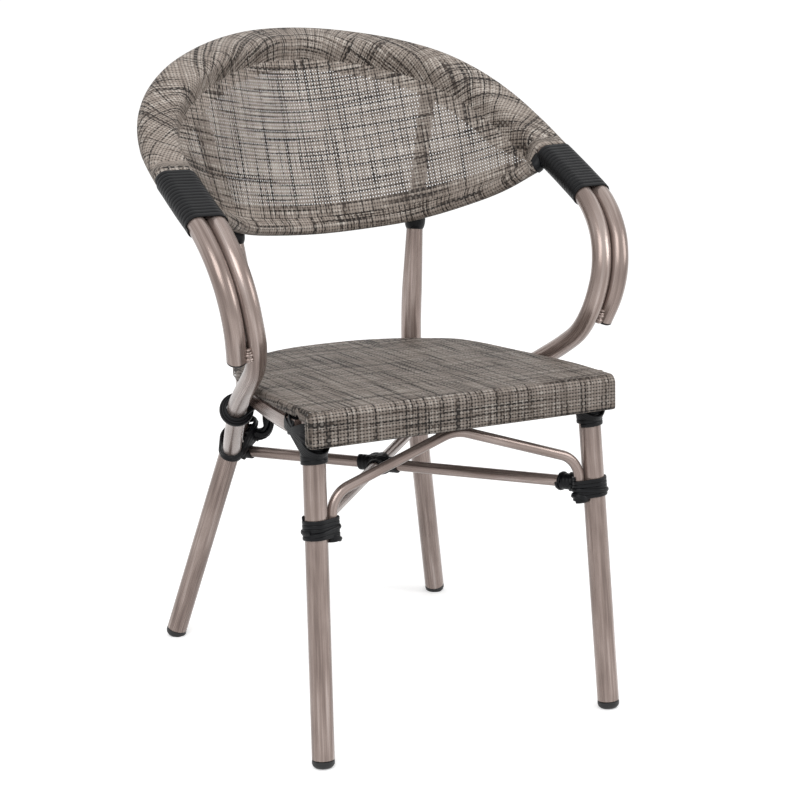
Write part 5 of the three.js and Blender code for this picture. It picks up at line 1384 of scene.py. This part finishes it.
class ARMCHAIR_OT_arm_wraps(Maker, bpy.types.Operator):
    """Winds flat rattan round both tubes of each arm, where the arms meet the hoop"""

    bl_idname = "armchair.arm_wraps"
    bl_label = "Arm wraps"

    def execute(self, context):
        rattan = context.scene.armchair_rattan
        radius = self.radius("arm") + FIT_GAP
        width, thickness = rattan.strip_width / MM, rattan.strip_thickness / MM
        start, stop = (
            hoop_share_at_depth(depth) * HOOP.length for depth in (ARM_WRAP_FRONT_DEPTH, ARM_WRAP_BACK_DEPTH)
        )
        turns = rattan.arm_turns
        pitch = (stop - start - width) / turns
        circles = [(0, 0, radius), (pair_pitch(), 0, radius)]
        strip = {"width": width * 0.98, "thickness": thickness * 0.95, "steps": 56, "phase": 0.5}
        for side, sign in SIDES.items():

            def matrix_at(travel):
                centre, ahead, inward, over = hoop_frame(travel / HOOP.length)
                return Matrix.Diagonal((sign, 1, 1, 1)) @ framed(centre, inward, over, ahead)

            bm = bmesh.new()
            wind(bm, circles, matrix_at, turns, start + width / 2, pitch, **strip)
            make(f"arm_winding_{side}", bm, flat_rattan, f"arm_wrap_{side}")
        return {"FINISHED"}


class ARMCHAIR_OT_bindings(Maker, bpy.types.Operator):
    """Winds and lashes the rattan that holds legs, rails, arms and stretchers together"""

    bl_idname = "armchair.bindings"
    bl_label = "Bindings"

    def execute(self, context):
        fronts, rears, crossing = brace_lines()
        self.inner = arm_return()
        rails = {key: [TO_SEAT @ place for place, _ in run] for key, run in seat_rail_runs().items()}
        makers = {
            "leg_winding": ("front_leg_wrap", lambda bm, side, sign: self.leg_winding(bm, sign)),
            "brace_end_winding": (
                "brace_end_wrap",
                lambda bm, side, sign: self.brace_end(bm, sign, fronts[side], crossing),
            ),
            "leg_top_binding": (
                "front_top_wrap",
                lambda bm, side, sign: self.leg_top(bm, sign, rails[side]),
            ),
            "rear_binding": (
                "rear_leg_wrap",
                lambda bm, side, sign: self.rear_binding(bm, sign, rears[side], crossing),
            ),
            "seat_tie_twist": ("seat_tie", lambda bm, side, sign: self.seat_tie(bm, sign)),
            "arm_ring": ("arm_rail_wrap", lambda bm, side, sign: self.arm_ring(bm, sign, rails[side])),
        }
        for side, sign in SIDES.items():
            for name, (replaced, wound) in makers.items():
                bm = bmesh.new()
                wound(bm, side, sign)
                make(f"{name}_{side}", bm, flat_rattan, f"{replaced}_{side}")
        bm = bmesh.new()
        self.cross_lashing(bm, fronts, rears, crossing)
        make("cross_lashing", bm, flat_rattan, "cross_wrap")
        return {"FINISHED"}

    def reach(self, part):
        return self.radius(part) + FIT_GAP

    def front_rod(self, sign):
        """The front leg as a rod, with its direction."""
        low, high = front_leg_at(sign, 250), front_leg_at(sign, 420)
        return (low, high, self.reach("leg")), (high - low).normalized()

    def leg_winding(self, bm, sign):
        """Turns round leg and arch, with a knot on the arch's foot."""
        leg_rod, up = self.front_rod(sign)
        apart = SIDEWAYS * -sign * (self.reach("leg") + self.radius("arch"))
        arch_rod = (leg_rod[0] + apart, leg_rod[1] + apart, self.reach("arch"))
        both = [leg_rod, arch_rod]
        middle, low_end = front_leg_at(sign, LEG_WINDING_HEIGHT), front_leg_at(sign, LEG_KNOT_HEIGHT)
        lash(bm, both, middle, up, turns=5, spread=24, size=(4.9, 2.5))
        lash(bm, both, low_end, up, turns=1, spread=4, tilt=8 * sign, size=(5.2, 4.2))
        foot = front_leg_at(sign, ARCH_FOOT_HEIGHT + ARCH_KNOT_RISE) + apart
        lash(bm, [arch_rod], foot, up, turns=3, spread=8, size=(5.6, 2.8))
        lash(bm, [arch_rod], foot, up, turns=2, spread=3, tilt=26, size=(5.2, 4.8))

    def brace_end(self, bm, sign, end, crossing):
        """Turns round a brace near its front leg, with two knots."""
        up = self.front_rod(sign)[1]
        ahead = (crossing - end).normalized()
        rod = [(end, end + ahead * 60, self.reach("brace"))]
        lash(bm, rod, end + ahead * BRACE_WINDING_REACH, ahead, turns=5, spread=22, size=(5.6, 2.6))
        for reach, tilt in BRACE_KNOTS:
            lash(bm, rod, end + ahead * reach, ahead, 1, spread=3, tilt=tilt, lean=up, size=(5.2, 4.6))

    def leg_top(self, bm, sign, rail):
        """Turns round the leg's top and the rail's end, and belts that fan out between them."""
        leg_rod, up = self.front_rod(sign)
        rail_rod = (rail[0], rail[3], SEAT_RAIL_DIAMETER / 2 + FIT_GAP)
        raised = UPWARDS * 4
        band_rod = (rail[0] + raised, rail[3] + raised, rail_rod[2])
        under = front_leg_at(sign, LEG_TOP_BINDING_HEIGHT)
        lash(bm, [leg_rod], under, up, turns=8, spread=41, size=(5.2, 2.2))
        ahead = (rail[3] - rail[0]).normalized()
        lash(bm, [rail_rod, band_rod], rail[0] + ahead * 8.5, ahead, turns=3, spread=13, size=(4.6, 2.4))
        over_rail = rail[0] + ahead * 5
        belted = [(*leg_rod[:2], leg_rod[2] + 1), rail_rod, band_rod]
        slant = SIDEWAYS.cross(over_rail - under)
        lash(bm, belted, under.lerp(over_rail, 0.5), slant, turns=5, spread=15, size=(3.9, 2.6))
        for height in BELT_HEIGHTS:
            slant = SIDEWAYS.cross(over_rail - front_leg_at(sign, height))
            lash(bm, belted, over_rail, slant, turns=3, spread=9, size=(4.2, 3.4))

    def rear_binding(self, bm, sign, rear, crossing):
        """Level and slanting turns round rear leg, arm and brace."""
        low, high = rear_leg_at(sign, 240), rear_leg_at(sign, 330)
        up = (high - low).normalized()
        leg_rod = (low, high, self.reach("leg"))
        arm_ends = flipped([self.inner.at(0), self.inner.at(40 / self.inner.length)], sign)
        both = [leg_rod, (*arm_ends, self.reach("arm"))]
        lash(bm, both, rear_leg_at(sign, REAR_BINDING_HEIGHT), up, turns=3, spread=10, size=(5.2, 2.4))
        beside = rear_leg_at(sign, REAR_TIE_HEIGHT) + Vector((-sign * 20, -6, 4))
        tie_rod = (beside, beside + UPWARDS * 8, 6)
        for tilt, height in REAR_DIAGONALS:
            middle, rods = rear_leg_at(sign, height), [*both, tie_rod]
            lash(bm, rods, middle, up, turns=2, spread=8, tilt=tilt * sign, size=(6.2, 3.2))
        ahead = (crossing - rear).normalized()
        brace_rod = (rear, rear + ahead * 50, self.reach("brace"))
        place = rear_leg_at(sign, REAR_BRACE_HEIGHT)
        lash(bm, [leg_rod, brace_rod], place, up, turns=2, spread=7, tilt=-20 * sign)
        lash(bm, [brace_rod], rear + ahead * 24, ahead, turns=3, spread=17)

    def seat_tie(self, bm, sign):
        """Four strands twisted together, from the rear leg up to the seat's rear rail."""
        half, depth, _ = TIE_KNEE
        rail_height = (TO_SEAT @ Vector((0, depth - SEAT_FRONT_DEPTH, -SEAT_RAIL_DROP))).z
        corners = [rear_leg_at(1, TIE_START_HEIGHT), Vector(TIE_KNEE), Vector((half, depth, rail_height))]
        tie = Run(filled(bent(flipped(corners, sign), [TIE_KNEE_RADIUS]), 3))
        matrices = untwisted(tie.stations(4, 0.06, 0.92))
        for strand in range(4):
            twisted = []
            for k, matrix in enumerate(matrices):
                turn = strand * math.pi / 2 + k * 0.22
                spoke = Vector((math.cos(turn), math.sin(turn), 0)) * TIE_STRAND_REACH
                twisted.append(matrix @ spoke)
            sweep(bm, strip_outline(9.5, 6.5), untwisted(twisted))

    def arm_ring(self, bm, sign, rail):
        """Turns that lie on one another like a flat spiral round the arm, strapped to the seat rail."""
        shares = [i / 400 for i in range(401) if self.inner.at(i / 400).z < 500]
        share = min(shares, key=lambda s: abs(self.inner.at(s).y - RING_DEPTH))
        ring, ahead = flipped([self.inner.at(share), self.inner.ahead(share)], sign)
        near = min(rail, key=lambda place: abs(place.y - ring.y))
        ends, arm = (ring - ahead * 30, ring + ahead * 30), self.reach("arm")
        for turn in range(RING_TURNS):
            coil = [(*ends, arm + RING_STEP * turn)]
            lash(bm, coil, ring - ahead * 2.4 * turn, ahead, turns=1.3, spread=1.4, size=(5.6, 3.6))
        strap_rod = (near - ahead * 30, near + ahead * 30, 10.6)
        lash(bm, [(*ends, arm), strap_rod], ring, ahead, turns=2, spread=6, size=(5.6, 2.2))

    def cross_lashing(self, bm, fronts, rears, crossing):
        """Turns on all four arms of the crossing, and a knot over it."""
        brace = self.reach("brace")
        ahead = (fronts["right"] - rears["left"]).normalized()
        cross = (rears["right"] - fronts["left"]).normalized()
        through, other = (rears["left"], fronts["right"], brace), (fronts["left"], rears["right"], brace)
        for axis, rod, reach in ((ahead, through, CROSS_REACH), (cross, other, CROSS_OTHER_REACH)):
            for way in (-1, 1):
                place = crossing + axis * reach * way
                lash(bm, [rod], place, axis, turns=3, spread=reach - 2, size=(6, 2.6))
        knot = (crossing - ahead * 0.1, crossing + ahead * 0.1, brace + 1.5)
        for axis in ((ahead + cross).normalized(), (ahead - cross).normalized()):
            lash(bm, [knot], crossing, axis, turns=4, spread=22, size=(6.5, 3.4))


class ARMCHAIR_OT_post_collars(Maker, bpy.types.Operator):
    """Adds the black collars where the posts pass behind the back"""

    bl_idname = "armchair.post_collars"
    bl_label = "Post collars"

    def execute(self, context):
        for side, sign in SIDES.items():
            low = post_at(sign, COLLAR_LOW)
            run = post_at(sign, COLLAR_HIGH) - low
            top = run.length
            profile = [
                (10.8, 0), (11.5, 0.5), (12.6, 2.6), (13.5, 5.4), (14.1, 8.6), (14.35, top * 0.6),
                (14.1, top - 1), (13.4, top), (10.6, top), (10.8, 0),
            ]
            name = f"post_collar_{side}"
            lathe(name, profile, low, run.normalized(), flat_rattan, f"post_wrap_{side}")
        return {"FINISHED"}


class ARMCHAIR_OT_stage(Maker, bpy.types.Operator):
    """Adds the floor, the lamps and the camera"""

    bl_idname = "armchair.stage"
    bl_label = "Stage"

    def execute(self, context):
        scene, studio = context.scene, context.scene.armchair_studio
        bm = bmesh.new()
        bmesh.ops.create_grid(bm, x_segments=1, y_segments=1, size=30)
        data = bpy.data.meshes.new("floor")
        bm.to_mesh(data)
        bm.free()
        data.materials.append(material(studio_paper))
        self.placed("floor", data)

        scene.world = bpy.data.worlds.new("studio")
        scene.world.use_nodes = True
        tree = scene.world.node_tree
        tree.nodes.clear()
        strength = node(tree, "Mix", {0: seen(tree), 2: studio.world_strength, 3: 1.0})
        light = node(tree, "Background", {"Color": (1, 1, 1, 1), "Strength": strength})
        node(tree, "OutputWorld", {"Surface": light})

        for name, place, target, size, power in (
            ("key", (-1.6, -1.7, 2.3), (0, 0, 0.45), 1.6, studio.key_power),
            ("fill", (2.0, -1.6, 1.5), (0, 0, 0.7), 1.2, studio.fill_power),
        ):
            data = bpy.data.lights.new(name, "AREA")
            data.size = size
            data.energy = power
            lamp = self.placed(name, data)
            lamp.location = place
            lamp.rotation_euler = (Vector(place) - Vector(target)).to_track_quat("Z", "Y").to_euler()

        lens = bpy.data.cameras.new("camera")
        lens.sensor_width = SENSOR_WIDTH
        lens.lens = FOCAL_LENGTH
        lens.clip_end = SIGHT
        scene.camera = self.placed("camera", lens)
        scene.camera.location = TO_FRAME @ Vector(CAMERA_PLACE)
        scene.camera.rotation_euler = Matrix(CAMERA_AXES).to_euler()
        scene.view_settings.view_transform = "Standard"
        return {"FINISHED"}

    def placed(self, name, data):
        made = bpy.data.objects.new(name, data)
        bpy.context.scene.collection.objects.link(made)
        return made


MAKERS = [
    ARMCHAIR_OT_hoop,
    ARMCHAIR_OT_arms,
    ARMCHAIR_OT_welds,
    ARMCHAIR_OT_legs,
    ARMCHAIR_OT_back_rail,
    ARMCHAIR_OT_seat_rails,
    ARMCHAIR_OT_arch,
    ARMCHAIR_OT_braces,
    ARMCHAIR_OT_back_sling,
    ARMCHAIR_OT_seat_sling,
    ARMCHAIR_OT_arm_wraps,
    ARMCHAIR_OT_bindings,
    ARMCHAIR_OT_post_collars,
    ARMCHAIR_OT_stage,
]
GROUPS = {
    "armchair_tubes": TubeSizes,
    "armchair_cloth": ClothSettings,
    "armchair_rattan": RattanSettings,
    "armchair_studio": StudioSettings,
}


class ARMCHAIR_PT_sidebar(bpy.types.Panel):
    """Lists the chair's settings and its pieces"""

    bl_idname = "ARMCHAIR_PT_sidebar"
    bl_label = "Bistro Armchair"
    bl_space_type = "VIEW_3D"
    bl_region_type = "UI"
    bl_category = "Armchair"

    def draw(self, context):
        for name in GROUPS:
            group = getattr(context.scene, name)
            box = self.layout.box()
            for key in group.__annotations__:
                box.prop(group, key)
        for maker in MAKERS:
            self.layout.operator(maker.bl_idname)


def register():
    for name, group in GROUPS.items():
        bpy.utils.register_class(group)
        setattr(bpy.types.Scene, name, PointerProperty(type=group))
    for cls in (*MAKERS, ARMCHAIR_PT_sidebar):
        bpy.utils.register_class(cls)


def unregister():
    for cls in reversed((*MAKERS, ARMCHAIR_PT_sidebar)):
        bpy.utils.unregister_class(cls)
    for name, group in GROUPS.items():
        delattr(bpy.types.Scene, name)
        bpy.utils.unregister_class(group)


def main():
    register()
    for maker in MAKERS:
        name = maker.bl_idname.split(".")[1]
        getattr(bpy.ops.armchair, name)()


if __name__ == "__main__":
    main()
